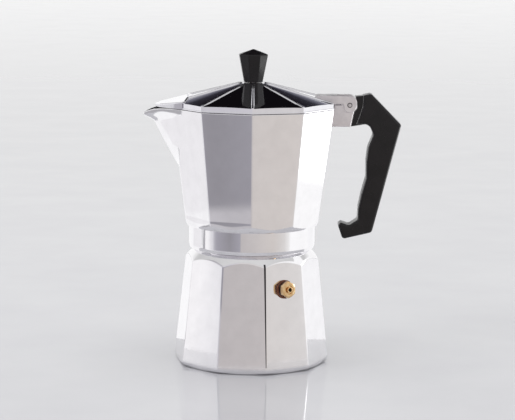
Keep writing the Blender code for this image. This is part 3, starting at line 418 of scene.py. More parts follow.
def place_piece(name: str, mesh: bpy.types.Mesh, finish: bpy.types.Material, body: Body,
                stands_for: Sequence[str] = (),
                even: bool = True) -> bpy.types.Object:
    """Put a finished mesh into the scene on its CAD body.

    Args:
        name: the piece's name.
        mesh: its mesh, in place in the row frame.
        finish: its material.
        body: the CAD body that it rides on.
        stands_for: CAD nodes that it hides.
        even: whether large flat faces keep their own normals beside rounded edges.

    Returns:
        The new object.
    """
    piece = bpy.data.objects.new(name, mesh)
    bpy.context.scene.collection.objects.link(piece)
    mesh.materials.clear()
    mesh.materials.append(finish)
    if even:
        weighting = piece.modifiers.new("flat_faces_first", "WEIGHTED_NORMAL")
        weighting.keep_sharp = True
        weighting.weight = 90
    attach(piece, body.value)
    if stands_for:
        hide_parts(*stands_for)
    LOG.info("%s: %d faces on %s", name, len(mesh.polygons), body.value)
    return piece


def boolean(mesh: bpy.types.Mesh, tool: bpy.types.Mesh, operation: str) -> bpy.types.Mesh:
    """Cut one mesh with another.

    Args:
        mesh: the mesh that is cut.
        tool: the mesh that cuts.
        operation: the Boolean modifier's operation.

    Returns:
        The new mesh, welded and shaded.
    """
    scene = bpy.context.scene
    base = bpy.data.objects.new("work_base", mesh)
    other = bpy.data.objects.new("work_tool", tool)
    scene.collection.objects.link(base)
    scene.collection.objects.link(other)
    modifier = base.modifiers.new("cut", "BOOLEAN")
    modifier.operation = operation
    modifier.solver = "EXACT"
    modifier.object = other
    bpy.context.view_layer.update()
    graph = bpy.context.evaluated_depsgraph_get()
    result = bpy.data.meshes.new_from_object(base.evaluated_get(graph))
    bpy.data.objects.remove(base)
    bpy.data.objects.remove(other)
    finish_mesh(result)
    return result


def cad_box(node: str) -> tuple[Vector, Vector]:
    """Return a CAD node's lowest and highest corners in millimetres."""
    low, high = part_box(node)
    return low / MM, high / MM


def pin_middle() -> Vector:
    """Return the middle of the hinge pin in millimetres."""
    low, high = cad_box("hinge_pin")
    return (low + high) / 2.0


# ---------------------------------------------------------------- finishes

def surface_noise(tree: bpy.types.NodeTree, cell_mm: float, grain: Grain = Grain.ROUND,
                  detail: float = 2.0, seed: float = 0.0) -> bpy.types.NodeSocket:
    """Return a noise over the piece's own space with cells of a real size.

    Args:
        tree: the material's tree.
        cell_mm: size of one cell.
        grain: which way the cells are drawn out.
        detail: how many finer levels it holds.
        seed: shifts the pattern.

    Returns:
        The noise's value socket.
    """
    place = add(tree, "ShaderNodeTexCoord")
    stretch = add(tree, "ShaderNodeMapping",
                  {"Vector": place.outputs["Object"], "Scale": grain.value,
                   "Location": (seed, seed * 0.7, seed * 1.3)})
    noise = add(tree, "ShaderNodeTexNoise",
                {"Vector": stretch.outputs["Vector"], "Scale": 1.0 / (cell_mm * MM),
                 "Detail": detail, "Roughness": 0.5})
    return noise.outputs["Fac"]


def coat(material: bpy.types.Material, patches: bpy.types.NodeSocket,
         colours: tuple[str, str], roughness: tuple[float, float],
         reliefs: Sequence[tuple[bpy.types.NodeSocket, float]] = (),
         wear: bpy.types.NodeSocket | None = None) -> None:
    """Give a material a patchy colour and roughness and its relief.

    Args:
        material: the material.
        patches: the noise that says where the second colour shows.
        colours: the two hex colours.
        roughness: the least and the most roughness.
        reliefs: heights and their real depths in millimetres, the coarsest first.
        wear: the noise that the roughness follows; if none is given, the patches.
    """
    tree = material.node_tree
    shader = tree.nodes["Principled BSDF"]
    usual = {"From Min": NOISE_LOW, "From Max": NOISE_HIGH}
    share = add(tree, "ShaderNodeMapRange", {"Value": patches, **usual})
    colour = add(tree, "ShaderNodeMix", {0: share.outputs["Result"], 6: linear(colours[0]),
                                         7: linear(colours[1])}, data_type="RGBA")
    rough = add(tree, "ShaderNodeMapRange", {"Value": wear or patches, **usual,
                                             "To Min": roughness[0], "To Max": roughness[1]})
    tree.links.new(colour.outputs[2], shader.inputs["Base Color"])
    tree.links.new(rough.outputs["Result"], shader.inputs["Roughness"])
    for height, depth_mm in reliefs:
        bump = add(tree, "ShaderNodeBump", {"Height": height, "Distance": depth_mm * MM,
                                            "Strength": 1.0})
        for link in shader.inputs["Normal"].links:
            tree.links.new(link.from_socket, bump.inputs["Normal"])
        tree.links.new(bump.outputs["Normal"], shader.inputs["Normal"])


def lay_painted_shade(material: bpy.types.Material, mask: bpy.types.NodeSocket, colour: str) -> None:
    """Lay a painted shade colour over a material's own.

    Args:
        material: the material, already coated.
        mask: one where the other colour shows.
        colour: that colour in hex.
    """
    tree = material.node_tree
    base = tree.nodes["Principled BSDF"].inputs["Base Color"]
    mixed = add(tree, "ShaderNodeMix", {0: mask, 6: base.links[0].from_socket,
                                        7: linear(colour)}, data_type="RGBA")
    tree.links.new(mixed.outputs[2], base)


@dataclass(frozen=True)
class PolishedCasting:
    """Die-cast aluminium, buffed on a wheel to a mirror."""

    name: str = "buffed_cast_aluminium"
    bright: str = "#F3F2F4"
    dull: str = "#EDECEE"
    rough_low: float = 0.05
    rough_high: float = 0.09
    wave_mm: float = 16.0
    wave_depth_mm: float = 0.035
    line_mm: float = 0.7
    line_depth_mm: float = 0.0008
    grain: Grain = Grain.UPRIGHT

    def build(self) -> bpy.types.Material:
        """Make the material.

        Returns:
            The node material.
        """
        material = new_material(self.name, Metallic=1.0)
        tree = material.node_tree
        # The wheel leaves slow waves that bend reflections a little.
        wave = surface_noise(tree, self.wave_mm, detail=1.0)
        # Its fine lines are drawn coarser than the real 0.1 mm so that they show.
        lines = surface_noise(tree, self.line_mm, self.grain, 3.0, 2.0)
        # Wiped patches are a touch duller than the rest.
        haze = surface_noise(tree, self.wave_mm * 0.6, detail=4.0, seed=5.0)
        coat(material, haze, (self.bright, self.dull), (self.rough_low, self.rough_high),
             ((wave, self.wave_depth_mm), (lines, self.line_depth_mm)))
        return material


@dataclass(frozen=True)
class PaintedShadeLineCasting(PolishedCasting):
    """The same buffed casting with a painted shade line along one edge."""

    name: str = "buffed_casting_with_painted_shade_line"
    turn: float = BOILER_TURN
    painted_shade_colour: str = "#2C2A30"
    half_low_mm: float = 0.30
    half_high_mm: float = 0.75
    low_z_mm: float = 5.0
    high_z_mm: float = 72.6
    core: float = 0.6
    fringe: float = 1.1

    def build(self) -> bpy.types.Material:
        """Make the material.

        Returns:
            The node material.
        """
        material = super().build()
        tree = material.node_tree
        place = add(tree, "ShaderNodeTexCoord").outputs["Object"]
        across = add(tree, "ShaderNodeVectorMath",
                     {0: place, 1: (-math.sin(self.turn), math.cos(self.turn), 0.0)},
                     operation="DOT_PRODUCT")
        along = add(tree, "ShaderNodeVectorMath",
                    {0: place, 1: (math.cos(self.turn), math.sin(self.turn), 0.0)},
                    operation="DOT_PRODUCT")
        height = add(tree, "ShaderNodeSeparateXYZ", {"Vector": place}).outputs["Z"]
        width = add(tree, "ShaderNodeMapRange",
                    {"Value": height, "From Min": self.low_z_mm * MM,
                     "From Max": self.high_z_mm * MM, "To Min": self.half_low_mm * MM,
                     "To Max": self.half_high_mm * MM})
        side = add(tree, "ShaderNodeMath", {0: across.outputs["Value"]}, operation="ABSOLUTE")
        share = add(tree, "ShaderNodeMath", {0: side.outputs[0], 1: width.outputs["Result"]},
                    operation="DIVIDE")
        line = add(tree, "ShaderNodeMapRange",
                   {"Value": share.outputs[0], "From Min": self.core, "From Max": self.fringe,
                    "To Min": 1.0, "To Max": 0.0})
        mask = line.outputs["Result"]
        # The line runs up one side only, between the foot and the shoulder.
        for value, limit, test in ((along.outputs["Value"], 0.0, "GREATER_THAN"),
                                   (height, self.low_z_mm * MM, "GREATER_THAN"),
                                   (height, self.high_z_mm * MM, "LESS_THAN")):
            gate = add(tree, "ShaderNodeMath", {0: value, 1: limit}, operation=test)
            mask = add(tree, "ShaderNodeMath", {0: mask, 1: gate.outputs[0]},
                       operation="MULTIPLY").outputs[0]
        # Painted shade: the line is coloured dark, so it reads as a thin dark stroke.
        lay_painted_shade(material, mask, self.painted_shade_colour)
        return material


@dataclass(frozen=True)
class SatinCasting:
    """Cast aluminium that was tumbled and left satin."""

    name: str = "tumbled_cast_aluminium"
    bright: str = "#DEDADC"
    dull: str = "#CFCBCE"
    roughness: float = 0.36
    grain_mm: float = 0.45
    depth_mm: float = 0.012

    def build(self) -> bpy.types.Material:
        """Make the material.

        Returns:
            The node material.
        """
        material = new_material(self.name, Metallic=1.0)
        # Sand grain of the mould skin softens every reflection to a glow.
        grain = surface_noise(material.node_tree, self.grain_mm, detail=4.0)
        blotch = surface_noise(material.node_tree, self.grain_mm * 12.0, detail=3.0, seed=3.0)
        coat(material, blotch, (self.bright, self.dull),
             (self.roughness - 0.05, self.roughness + 0.06), ((grain, self.depth_mm),))
        return material


@dataclass(frozen=True)
class SpunSheet:
    """Pressed and spun aluminium sheet with rings round its axis."""

    name: str = "spun_aluminium_sheet"
    bright: str = "#DCDBDD"
    dull: str = "#C6C5C8"
    roughness: float = 0.30
    ring_mm: float = 0.8
    depth_mm: float = 0.004
    haze_mm: float = 9.0

    def build(self) -> bpy.types.Material:
        """Make the material.

        Returns:
            The node material.
        """
        material = new_material(self.name, Metallic=1.0)
        tree = material.node_tree
        place = add(tree, "ShaderNodeTexCoord")
        # The spinning tool leaves rings, drawn wider than the real 0.2 mm.
        rings = add(tree, "ShaderNodeTexWave",
                    {"Vector": place.outputs["Object"], "Distortion": 0.4, "Detail": 2.0,
                     "Scale": 1.0 / (self.ring_mm * MM * WAVE_RINGS)},
                    wave_type="RINGS", rings_direction="Z")
        haze = surface_noise(tree, self.haze_mm, detail=3.0)
        coat(material, haze, (self.bright, self.dull),
             (self.roughness - 0.06, self.roughness + 0.06),
             ((rings.outputs["Fac"], self.depth_mm),))
        return material


@dataclass(frozen=True)
class MouldedPhenolic:
    """Phenolic resin from a polished mould, black with a trace of brown."""

    name: str = "moulded_black_phenolic"
    deep: str = "#08070A"
    worn: str = "#141013"
    rough_low: float = 0.22
    rough_high: float = 0.34
    flow_mm: float = 9.0
    grain_mm: float = 0.35
    depth_mm: float = 0.004
    index: float = 1.6
    skin: float = 0.24

    def build(self) -> bpy.types.Material:
        """Make the material.

        Returns:
            The node material.
        """
        # Handling has dulled the skin, so that it mirrors less than fresh resin.
        material = new_material(self.name, Specular_IOR_Level=self.skin, IOR=self.index)
        # Flow of the resin shows as faint brown clouds, its skin as a fine pebble.
        cloud = surface_noise(material.node_tree, self.flow_mm, detail=3.0)
        pebble = surface_noise(material.node_tree, self.grain_mm, detail=2.0, seed=4.0)
        coat(material, cloud, (self.deep, self.worn), (self.rough_low, self.rough_high),
             ((pebble, self.depth_mm),))
        return material


@dataclass(frozen=True)
class TurnedMetal:
    """A bar metal cut on a lathe, with its tool rings and some tarnish."""

    name: str
    bright: str
    tarnish: str
    roughness: float = 0.2
    ring_mm: float = 0.35
    depth_mm: float = 0.004
    patch_mm: float = 2.5

    def build(self) -> bpy.types.Material:
        """Make the material.

        Returns:
            The node material.
        """
        material = new_material(self.name, Metallic=1.0)
        # Tarnish gathers in patches a few millimetres wide.
        patch = surface_noise(material.node_tree, self.patch_mm, detail=3.0)
        # Tool marks, drawn coarser than the real 0.1 mm feed.
        marks = surface_noise(material.node_tree, self.ring_mm, Grain.LEVEL, 2.0, 1.0)
        coat(material, patch, (self.bright, self.tarnish),
             (self.roughness - 0.05, self.roughness + 0.08), ((marks, self.depth_mm),))
        return material


@dataclass(frozen=True)
class StakedPin(TurnedMetal):
    """A steel pin with a painted shade ring round its staked ends."""

    name: str = "staked_steel_pin"
    bright: str = "#D2CFD0"
    tarnish: str = "#B6B2B4"
    spot: Vector = field(default_factory=Vector)
    seam_shade_colour: str = "#2A272B"
    seam_mm: float = 1.15
    seam_edge_mm: float = 0.15

    def build(self) -> bpy.types.Material:
        """Make the material.

        Returns:
            The node material.
        """
        material = super().build()
        tree = material.node_tree
        place = add(tree, "ShaderNodeTexCoord")
        away = add(tree, "ShaderNodeVectorMath", {0: place.outputs["Object"], 1: self.spot},
                   operation="SUBTRACT")
        flat = add(tree, "ShaderNodeVectorMath", {0: away.outputs["Vector"], 1: (1.0, 0.0, 1.0)},
                   operation="MULTIPLY")
        reach = add(tree, "ShaderNodeVectorMath", {0: flat.outputs["Vector"]},
                    operation="LENGTH")
        seam = add(tree, "ShaderNodeMapRange",
                   {"Value": reach.outputs["Value"], "From Min": self.seam_mm * MM,
                    "From Max": (self.seam_mm + self.seam_edge_mm) * MM})
        # Painted shade fills the seam, which reads as a small dark ring.
        lay_painted_shade(material, seam.outputs["Result"], self.seam_shade_colour)
        return material


@dataclass(frozen=True)
class PressedSoft:
    """A pressed or moulded soft seal: silicone rubber or vulcanised fibre."""

    name: str
    light: str
    dark: str
    roughness: float
    grain_mm: float
    depth_mm: float
    index: float

    def build(self) -> bpy.types.Material:
        """Make the material.

        Returns:
            The node material.
        """
        material = new_material(self.name, IOR=self.index)
        # A dusty, slightly uneven skin without gloss.
        grain = surface_noise(material.node_tree, self.grain_mm, detail=4.0)
        cloud = surface_noise(material.node_tree, self.grain_mm * 14.0, detail=2.0, seed=6.0)
        coat(material, cloud, (self.light, self.dark),
             (self.roughness - 0.06, self.roughness + 0.06), ((grain, self.depth_mm),), grain)
        return material


class Finishes:
    """Every material of the pot, made once."""

    def __init__(self) -> None:
        """Make the materials."""
        self.body = PolishedCasting().build()
        # The boiler's finish carries a painted shade line along one edge.
        self.body_with_painted_shade_line = PaintedShadeLineCasting().build()
        self.lid = PolishedCasting(
            "buffed_lid_aluminium", "#EEEDF1", "#E6E5EA", 0.04, 0.08, 12.0, 0.015,
            grain=Grain.ROUND).build()
        self.satin = SatinCasting().build()
        self.sheet = SpunSheet().build()
        self.phenolic = MouldedPhenolic().build()
        self.brass = TurnedMetal("turned_brass", "#F2D8AC", "#D3A873", 0.15).build()
        # The valve body's brass is coloured dark all over.
        self.dark_brass = TurnedMetal("dark_toned_brass", "#85706A", "#453A3E", 0.24).build()
        # The plunger is coloured dark as painted shade, so the valve's outlet hole reads black.
        self.plunger = TurnedMetal("shade_darkened_steel", "#4A4649", "#2E2B2D", 0.4).build()
        self.steel = TurnedMetal("drawn_steel", "#CFCCCE", "#AEABAE", 0.24).build()
        self.silicone = PressedSoft("moulded_silicone_rubber", "#ECE9E0", "#DEDACF", 0.5, 0.6,
                                    0.01, 1.41).build()
        self.fibre = PressedSoft("vulcanised_fibre", "#8C5438", "#6A3B26", 0.65, 0.4, 0.015,
                                 1.5).build()


# ---------------------------------------------------------------- thread

@dataclass(frozen=True)
class Thread:
    """The coarse right-hand thread between boiler and collector."""

    pitch: float = 4.0
    depth: float = 1.0
    start_z: float = 79.4
    turns: float = 2.25
    rows_per_turn: int = 14
    fade: float = 0.12

    @property
    def end_z(self) -> float:
        """Return the height where the thread runs out."""
        return self.start_z + self.pitch * self.turns

    def rings(self, like: Ring, root: float) -> list[Ring]:
        """Return the threaded surface from bottom to top.

        Args:
            like: a ring whose directions the points take.
            root: the radius between the ridges.

        Returns:
            The rings, which start and end on the plain root.
        """
        angles = np.arctan2(like[:, 1], like[:, 0])
        rows = round(self.turns * self.rows_per_turn)
        rings = []
        for row in range(rows + 1):
            share = row / rows
            z = self.start_z + self.pitch * self.turns * share
            phase = (z / self.pitch - angles / (2.0 * math.pi)) % 1.0
            ridge = np.clip(1.3 - 4.0 * np.abs(phase - 0.5), 0.0, 1.0)
            ridge = ridge * ridge * (3.0 - 2.0 * ridge)
            ease = min(1.0, share / self.fade, (1.0 - share) / self.fade)
            radius = root + self.depth * ridge * ease
            rings.append(np.column_stack((radius * np.cos(angles), radius * np.sin(angles),
                                          np.full(len(angles), z))))
        return rings


# ---------------------------------------------------------------- boiler

@dataclass
class Boiler:
    """The ten-sided water chamber with its shoulder and threaded neck."""

    finishes: Finishes
    thread: Thread
    edge_z: float = 3.2
    edge_r: float = 52.54
    slope: float = 0.108
    foot_r: float = 49.0
    turn: float = BOILER_TURN
    corner_cut: float = 0.75
    wall: float = 3.0
    floor: float = 3.0
    shoulder_z: float = 77.6
    shoulder_r: float = 39.0
    shoulder_slope: float = 1.12
    neck_root_r: float = 36.0
    neck_bore_r: float = 32.0
    axis_r: float = 0.8          # of the smallest ring at the axis
    halvings: int = 40

    def corner_r(self, z: float) -> float:
        """Return the corner radius at a height."""
        return self.edge_r - self.slope * (z - self.edge_z)

    def outer(self, z: float, inward: float = 0.0) -> Ring:
        """Return the ten-sided ring at a height.

        Args:
            z: the height.
            inward: how far the ring is moved inward.

        Returns:
            The ring, with eased corners.
        """
        corners = regular(self.corner_r(z), self.turn)
        if inward > 0.0:
            corners = inset(corners, inward)
        return rounded_plan(corners, [self.corner_cut] * SIDES, z)

    def scallops(self) -> Ring:
        """Find where the facets meet the conical shoulder, by halving.

        Returns:
            The scalloped ring, from the points of the facets that lie on the cone.
        """
        low, high = self.outer(self.edge_z), self.outer(self.shoulder_z)
        below = np.zeros(len(low))
        above = np.ones(len(low))
        for _ in range(self.halvings):
            middle = (below + above) / 2.0
            points = low + (high - low) * middle[:, None]
            cone = self.shoulder_r + (self.shoulder_z - points[:, 2]) / self.shoulder_slope
            outside = np.linalg.norm(points[:, :2], axis=1) > cone
            above = np.where(outside, middle, above)
            below = np.where(outside, below, middle)
        return low + (high - low) * ((below + above) / 2.0)[:, None]

    def build(self) -> None:
        """Build and dress the boiler."""
        top_z = cad_box("boiler")[1].z
        foot = self.outer(self.edge_z)
        base = circle_like(foot, self.foot_r, 0.0)
        edge = self.scallops()
        rings = [circle_like(foot, self.axis_r, 0.0),
                 circle_like(foot, self.foot_r - 5.0, 0.0), base]
        rings += bowl(base, foot, 6) + [foot]
        widths = [0.0, 0.0, 0.5] + [0.0] * 5 + [1.2]
        outside = between(foot, edge, (0.3, 0.6, 0.85)) + [edge]
        rings += outside
        widths += [0.0] * 3 + [1.1]
        shoulder = circle_like(edge, self.shoulder_r, self.shoulder_z)
        rings += between(edge, shoulder, (0.35, 0.7)) + [shoulder]
        rings.append(circle_like(edge, self.neck_root_r, self.shoulder_z))
        widths += [0.0, 0.0, 0.5, 0.3]
        turns = self.thread.rings(edge, self.neck_root_r)
        rings += turns
        widths += [0.0] * len(turns)
        rings += [circle_like(edge, self.neck_root_r - 0.5, top_z),
                  circle_like(edge, self.neck_bore_r, top_z),
                  circle_like(edge, self.neck_bore_r, self.shoulder_z - self.wall)]
        inner_top = self.outer(self.shoulder_z - self.wall - 5.0, self.wall)
        inner_low = self.outer(self.floor + 7.0, self.wall)
        rings += [inner_top, inner_low, self.outer(self.floor + 2.0, self.wall + 2.0),
                  circle_like(edge, 40.0, self.floor), circle_like(edge, self.axis_r, self.floor)]
        widths += [0.4, 0.5, 1.5, 3.0, 2.0, 1.0, 1.0, 0.0]
        mesh = loft_mesh("boiler_body", soften(rings, widths))
        place_piece("boiler_body", mesh, self.finishes.body_with_painted_shade_line, Body.BOILER,
                    ["boiler"])


# ---------------------------------------------------------------- valve

@dataclass
class Valve:
    """The brass pressure relief valve on the boiler's side."""

    finishes: Finishes
    boiler: Boiler
    z: float = 55.6
    shank_r: float = 4.0
    bore_r: float = 2.6
    seal_top: float = 0.9
    hex_r: float = 5.7
    hex_t: float = 1.6
    neck_r: float = 4.6
    neck_t: float = 0.8
    head_r: float = 5.75
    head_t: float = 2.0
    recess_r: float = 3.1
    recess_depth: float = 0.8
    nipple_r: float = 2.05
    nipple_t: float = 2.0
    outlet_r: float = 1.25
    joint_gap: float = 0.1
    hex_ease: float = 0.45
    hex_crown: float = 0.35
    head_crown: float = 0.9
    edge_share: float = 0.55
    crown_steps: int = 5

    def place(self) -> Matrix:
        """Work out how the valve sits in the wall.

        Returns:
            The valve's frame in metres, whose Z runs out of the wall.
        """
        facing = self.boiler.turn + FACET / 2.0
        apothem = self.boiler.corner_r(self.z) * HALF_FACET_COS
        tilt = math.atan(self.boiler.slope * HALF_FACET_COS)
        spot = Vector((apothem * math.cos(facing), apothem * math.sin(facing), self.z)) * MM
        outward = Vector((math.cos(facing) * math.cos(tilt), math.sin(facing) * math.cos(tilt),
                          math.sin(tilt)))
        across = Vector((0.0, 0.0, 1.0)).cross(outward).normalized()
        up = outward.cross(across)
        turn = Matrix((across, up, outward)).transposed().to_4x4()
        return Matrix.Translation(spot) @ turn

    def turned(self, name: str, profile: Sequence[tuple[float, float]],
               widths: Sequence[float]) -> bpy.types.Mesh:
        """Return a turned mesh from a profile that closes on itself.

        Args:
            name: the mesh's name.
            profile: its (radius, height) points in the valve's own frame.
            widths: how far each point's edge is rounded.

        Returns:
            The mesh, in metres.
        """
        rings = [level_circle(r, z, 48) for r, z in profile]
        return loft_mesh(name, soften(rings + [rings[0]], list(widths) + [0.0], 3)[:-1],
                         closed=True)

    def six_sided(self, name: str, radius: float, low: float, high: float, hole: float,
                  crown: float) -> bpy.types.Mesh:
        """Return a hexagonal ring whose corners are turned off to a crown.

        Args:
            name: the mesh's name.
            radius: how far its corners are from the axis.
            low: height of its rear face.
            high: height where its crown starts.
            hole: radius of its hole.
            crown: how much the crown rises in all.

        Returns:
            The mesh in the valve's own frame, in metres.
        """
        corners = regular(radius, math.radians(-90.0), 6)
        flat = radius * math.cos(math.pi / 6.0)
        plan = rounded_plan(corners, [self.hex_ease] * 6, low, 3, 7)
        reach = np.linalg.norm(plan[:, :2], axis=1)
        fall = (reach - flat) / (radius - flat)
        under = np.minimum(reach, flat + 0.1)
        away = plan[:, :2] / reach[:, None]
        rings = [circle_like(plan, hole, low), np.column_stack((away * under[:, None],
                                                                plan[:, 2]))]
        for height, way in ((low, 1.0), (high, -1.0)):
            lifted = plan.copy()
            lifted[:, 2] = height + way * fall * crown * self.edge_share
            rings.append(lifted)
        for step in range(1, self.crown_steps + 1):
            angle = math.pi / 2.0 * step / self.crown_steps
            edge = np.minimum(reach, flat + (radius - flat) * math.cos(angle))
            radial = edge * (0.80 + 0.20 * math.cos(angle))
            height = high - crown * self.edge_share * fall * math.cos(angle)
            rings.append(np.column_stack((
                away * radial[:, None],
                height + crown * (1.0 - self.edge_share) * math.sin(angle))))
        rings.append(circle_like(plan, hole, high + crown * (1.0 - self.edge_share)))
        return loft_mesh(name, rings, closed=True)

    def build(self) -> None:
        """Build and dress the valve's body and cap."""
        hex_low = self.seal_top + 0.3
        hex_high = hex_low + self.hex_t
        neck_top = hex_high + self.neck_t
        shank = self.turned("shank", [
            (self.bore_r, -8.0), (self.shank_r - 0.4, -8.0), (self.shank_r, -7.4),
            (self.shank_r, hex_high), (self.neck_r, hex_high), (self.neck_r, neck_top),
            (self.bore_r, neck_top)], [0.0, 0.2, 0.2, 0.1, 0.1, 0.15, 0.1])
        flange = self.six_sided("flange", self.hex_r, hex_low, hex_high, self.shank_r - 0.2,
                                self.hex_crown)
        self.fit("valve_body", [shank, flange], self.finishes.dark_brass)

        low = neck_top + self.joint_gap
        high = low + self.head_t
        head = self.six_sided("head", self.head_r, low, high, self.recess_r, self.head_crown)
        floor = high + self.head_crown * (1.0 - self.edge_share) - self.recess_depth
        nipple = self.turned("nipple", [
            (self.outlet_r, floor - 1.5), (self.recess_r + 0.1, floor - 1.5),
            (self.recess_r + 0.1, floor), (self.nipple_r, floor),
            (self.nipple_r, high + self.nipple_t), (self.outlet_r, high + self.nipple_t)],
            [0.1, 0.1, 0.1, 0.2, 0.35, 0.2])
        self.fit("valve_cap", [head, nipple], self.finishes.brass)

    def fit(self, node: str, parts: Sequence[bpy.types.Mesh],
            finish: bpy.types.Material) -> None:
        """Join turned parts, set them into the wall and put them in for a CAD node.

        Args:
            node: the CAD node's name.
            parts: the parts in the valve's own frame, in metres.
            finish: their material.
        """
        mesh = join_meshes(f"{node}_turned", parts)
        mesh.transform(self.place())
        finish_mesh(mesh)
        place_piece(f"{node}_turned", mesh, finish, Body.BOILER, [node])


# ---------------------------------------------------------------- collector

@dataclass
class Collector:
    """The upper chamber: collar, facets, spout, floor and hinge lug."""

    finishes: Finishes
    thread: Thread
    collar_r: float = 42.5
    collar_lip: float = 0.7
    collar_lip_h: float = 2.3
    collar_top_z: float = 93.2
    crest_clearance: float = 0.5
    belly_r: float = 43.2
    belly_top_z: float = 100.0
    rim_r: float = 56.6
    slope: float = 0.134
    wall: float = 2.4
    corner_cut: float = 0.8
    spout_root_z: float = 131.0
    spout_seam: float = 0.36
    spout_run: float = 18.0
    spout_bow: float = 0.9
    spout_beak_z: float = 162.0
    spout_lip_drop: float = 4.6
    spout_tip_x: float = 74.0
    keel_cut: float = 1.7
    recess_r: float = 36.8
    plate_recess_r: float = 33.3
    column_r: float = 6.5
    rim_z: float = 172.5
    neck_root_r: float = 36.0

    def corner_r(self, z: float) -> float:
        """Return the corner radius at a height."""
        return self.rim_r - self.slope * (self.rim_z - z)

    def share(self, z: float) -> float:
        """Return how far up the spout a height is."""
        climb = (z - self.spout_root_z) / (self.rim_z - self.spout_root_z)
        return min(1.0, max(0.0, climb))

    def keel(self, z: float) -> float:
        """Return how far the spout's keel stands out.

        Args:
            z: the height.

        Returns:
            The distance from the pot's axis.
        """
        if z <= self.spout_root_z:
            return self.corner_r(z) * HALF_FACET_COS
        root = self.corner_r(self.spout_root_z) * HALF_FACET_COS
        climb = (min(z, self.spout_beak_z) - self.spout_root_z)
        straight = root + self.spout_run * (
            climb / (self.spout_beak_z - self.spout_root_z)) ** self.spout_bow
        tip_z = self.rim_z - self.spout_lip_drop - 2.0
        share = min(1.0, max(0.0, (z - self.spout_beak_z) / (tip_z - self.spout_beak_z)))
        return straight + (self.spout_tip_x - straight) * share ** 1.5

    def corners(self, z: float) -> np.ndarray:
        """Return the plan corners at a height.

        Args:
            z: the height.

        Returns:
            The corners, with the spout's two seams and keel in place of one facet.
        """
        plain = regular(self.corner_r(z), FACET / 2.0)
        slide = self.spout_seam * self.share(z)
        left = plain[4] + (plain[3] - plain[4]) * slide
        right = plain[5] + (plain[6] - plain[5]) * slide
        keel_z = z
        if z > self.spout_root_z:
            height = self.rim_z - self.spout_root_z
            keel_z = self.spout_root_z + (z - self.spout_root_z) * (
                1.0 - self.spout_lip_drop / height)
        keel = np.array([[-self.keel(keel_z), 0.0]])
        return np.concatenate((plain[:4], [left], keel, [right], plain[6:]))

    def ring(self, z: float, inward: float = 0.0) -> Ring:
        """Return one ring of the chamber.

        Args:
            z: its height, except at the spout's lip, which dips.
            inward: how far it is moved inward.

        Returns:
            The ring's points.
        """
        corners = self.corners(z)
        if inward > 0.0:
            corners = inset(corners, inward)
        cuts = [self.corner_cut] * 11
        cuts[4] = cuts[6] = 1.4
        cuts[5] = self.keel_cut if inward == 0.0 else self.keel_cut * 0.6
        ring = rounded_plan(corners, cuts, z, 4, 12)
        for side in (4, 6):
            seam, tip = corners[side], corners[5]
            edge = tip - seam
            on_side = ring[:, 1] > 0.0 if side == 4 else ring[:, 1] <= 0.0
            reach = (ring[:, :2] - seam) @ edge / (edge @ edge)
            reach = np.where(on_side & (ring[:, 0] < seam[0]), np.clip(reach, 0.0, 1.0), 0.0)
            ring[:, 2] -= self.spout_lip_drop * reach ** 4 * self.share(z)
        return ring

    def shell(self) -> bpy.types.Mesh:
        """Build the chamber's shell with its collar, thread and floor.

        Returns:
            The closed shell's mesh, in metres.
        """
        bottom = cad_box("collector")[0].z
        floor_under = cad_box("column")[0].z
        plate_top = cad_box("filter_plate")[1].z
        floor = floor_under + 3.2
        crest = self.neck_root_r + self.thread.depth + self.crest_clearance
        belly = self.ring(self.belly_top_z)
        collar_low = circle_like(belly, self.collar_r - self.collar_lip, bottom)
        collar_bead = circle_like(belly, self.collar_r, bottom + self.collar_lip_h)
        collar_top = circle_like(belly, self.collar_r, self.collar_top_z)
        step = circle_like(belly, self.belly_r, self.collar_top_z)
        rings = [circle_like(belly, crest + 0.6, bottom), collar_low, collar_bead, collar_top, step]
        widths = [0.0, 0.3, 0.35, 0.25, 0.3]
        swell = bowl(step, belly, 9)
        rings += swell + [belly]
        widths += [0.0] * len(swell) + [1.0]
        heights = list(np.linspace(self.spout_root_z, self.rim_z, 22))
        lower = [self.belly_top_z + (self.spout_root_z - self.belly_top_z) * s
                 for s in (0.25, 0.5, 0.75)]
        rings += [self.ring(z) for z in lower + heights]
        widths += [0.0] * (len(lower) + len(heights) - 1) + [0.5]
        inside = heights[::-1]
        rings += [self.ring(z, self.wall) for z in inside]
        widths += [0.6] + [0.0] * (len(inside) - 1)
        low = self.ring(floor + 5.0, self.wall)
        rings.append(low)
        widths.append(2.5)
        away = low[:, :2] / np.linalg.norm(low[:, :2], axis=1, keepdims=True)
        rings.append(low - np.column_stack((away * 1.5, np.full(len(low), 3.5))))
        widths.append(1.0)
        floor_r = np.linalg.norm(low[:, :2], axis=1).min() - 5.0
        rings += [circle_like(belly, floor_r, floor), circle_like(belly, self.column_r, floor),
                  circle_like(belly, self.column_r, floor_under),
                  circle_like(belly, self.plate_recess_r, floor_under),
                  circle_like(belly, self.plate_recess_r, plate_top - 0.7),
                  circle_like(belly, self.recess_r, plate_top - 0.7),
                  circle_like(belly, self.recess_r, self.thread.end_z + 0.8)]
        widths += [1.0, 0.3, 0.3, 0.4, 0.3, 0.3, 0.3]
        turns = self.thread.rings(belly, crest)[::-1]
        rings += turns
        widths += [0.0] * len(turns)
        return loft_mesh("collector_shell", soften(rings, widths), closed=True)

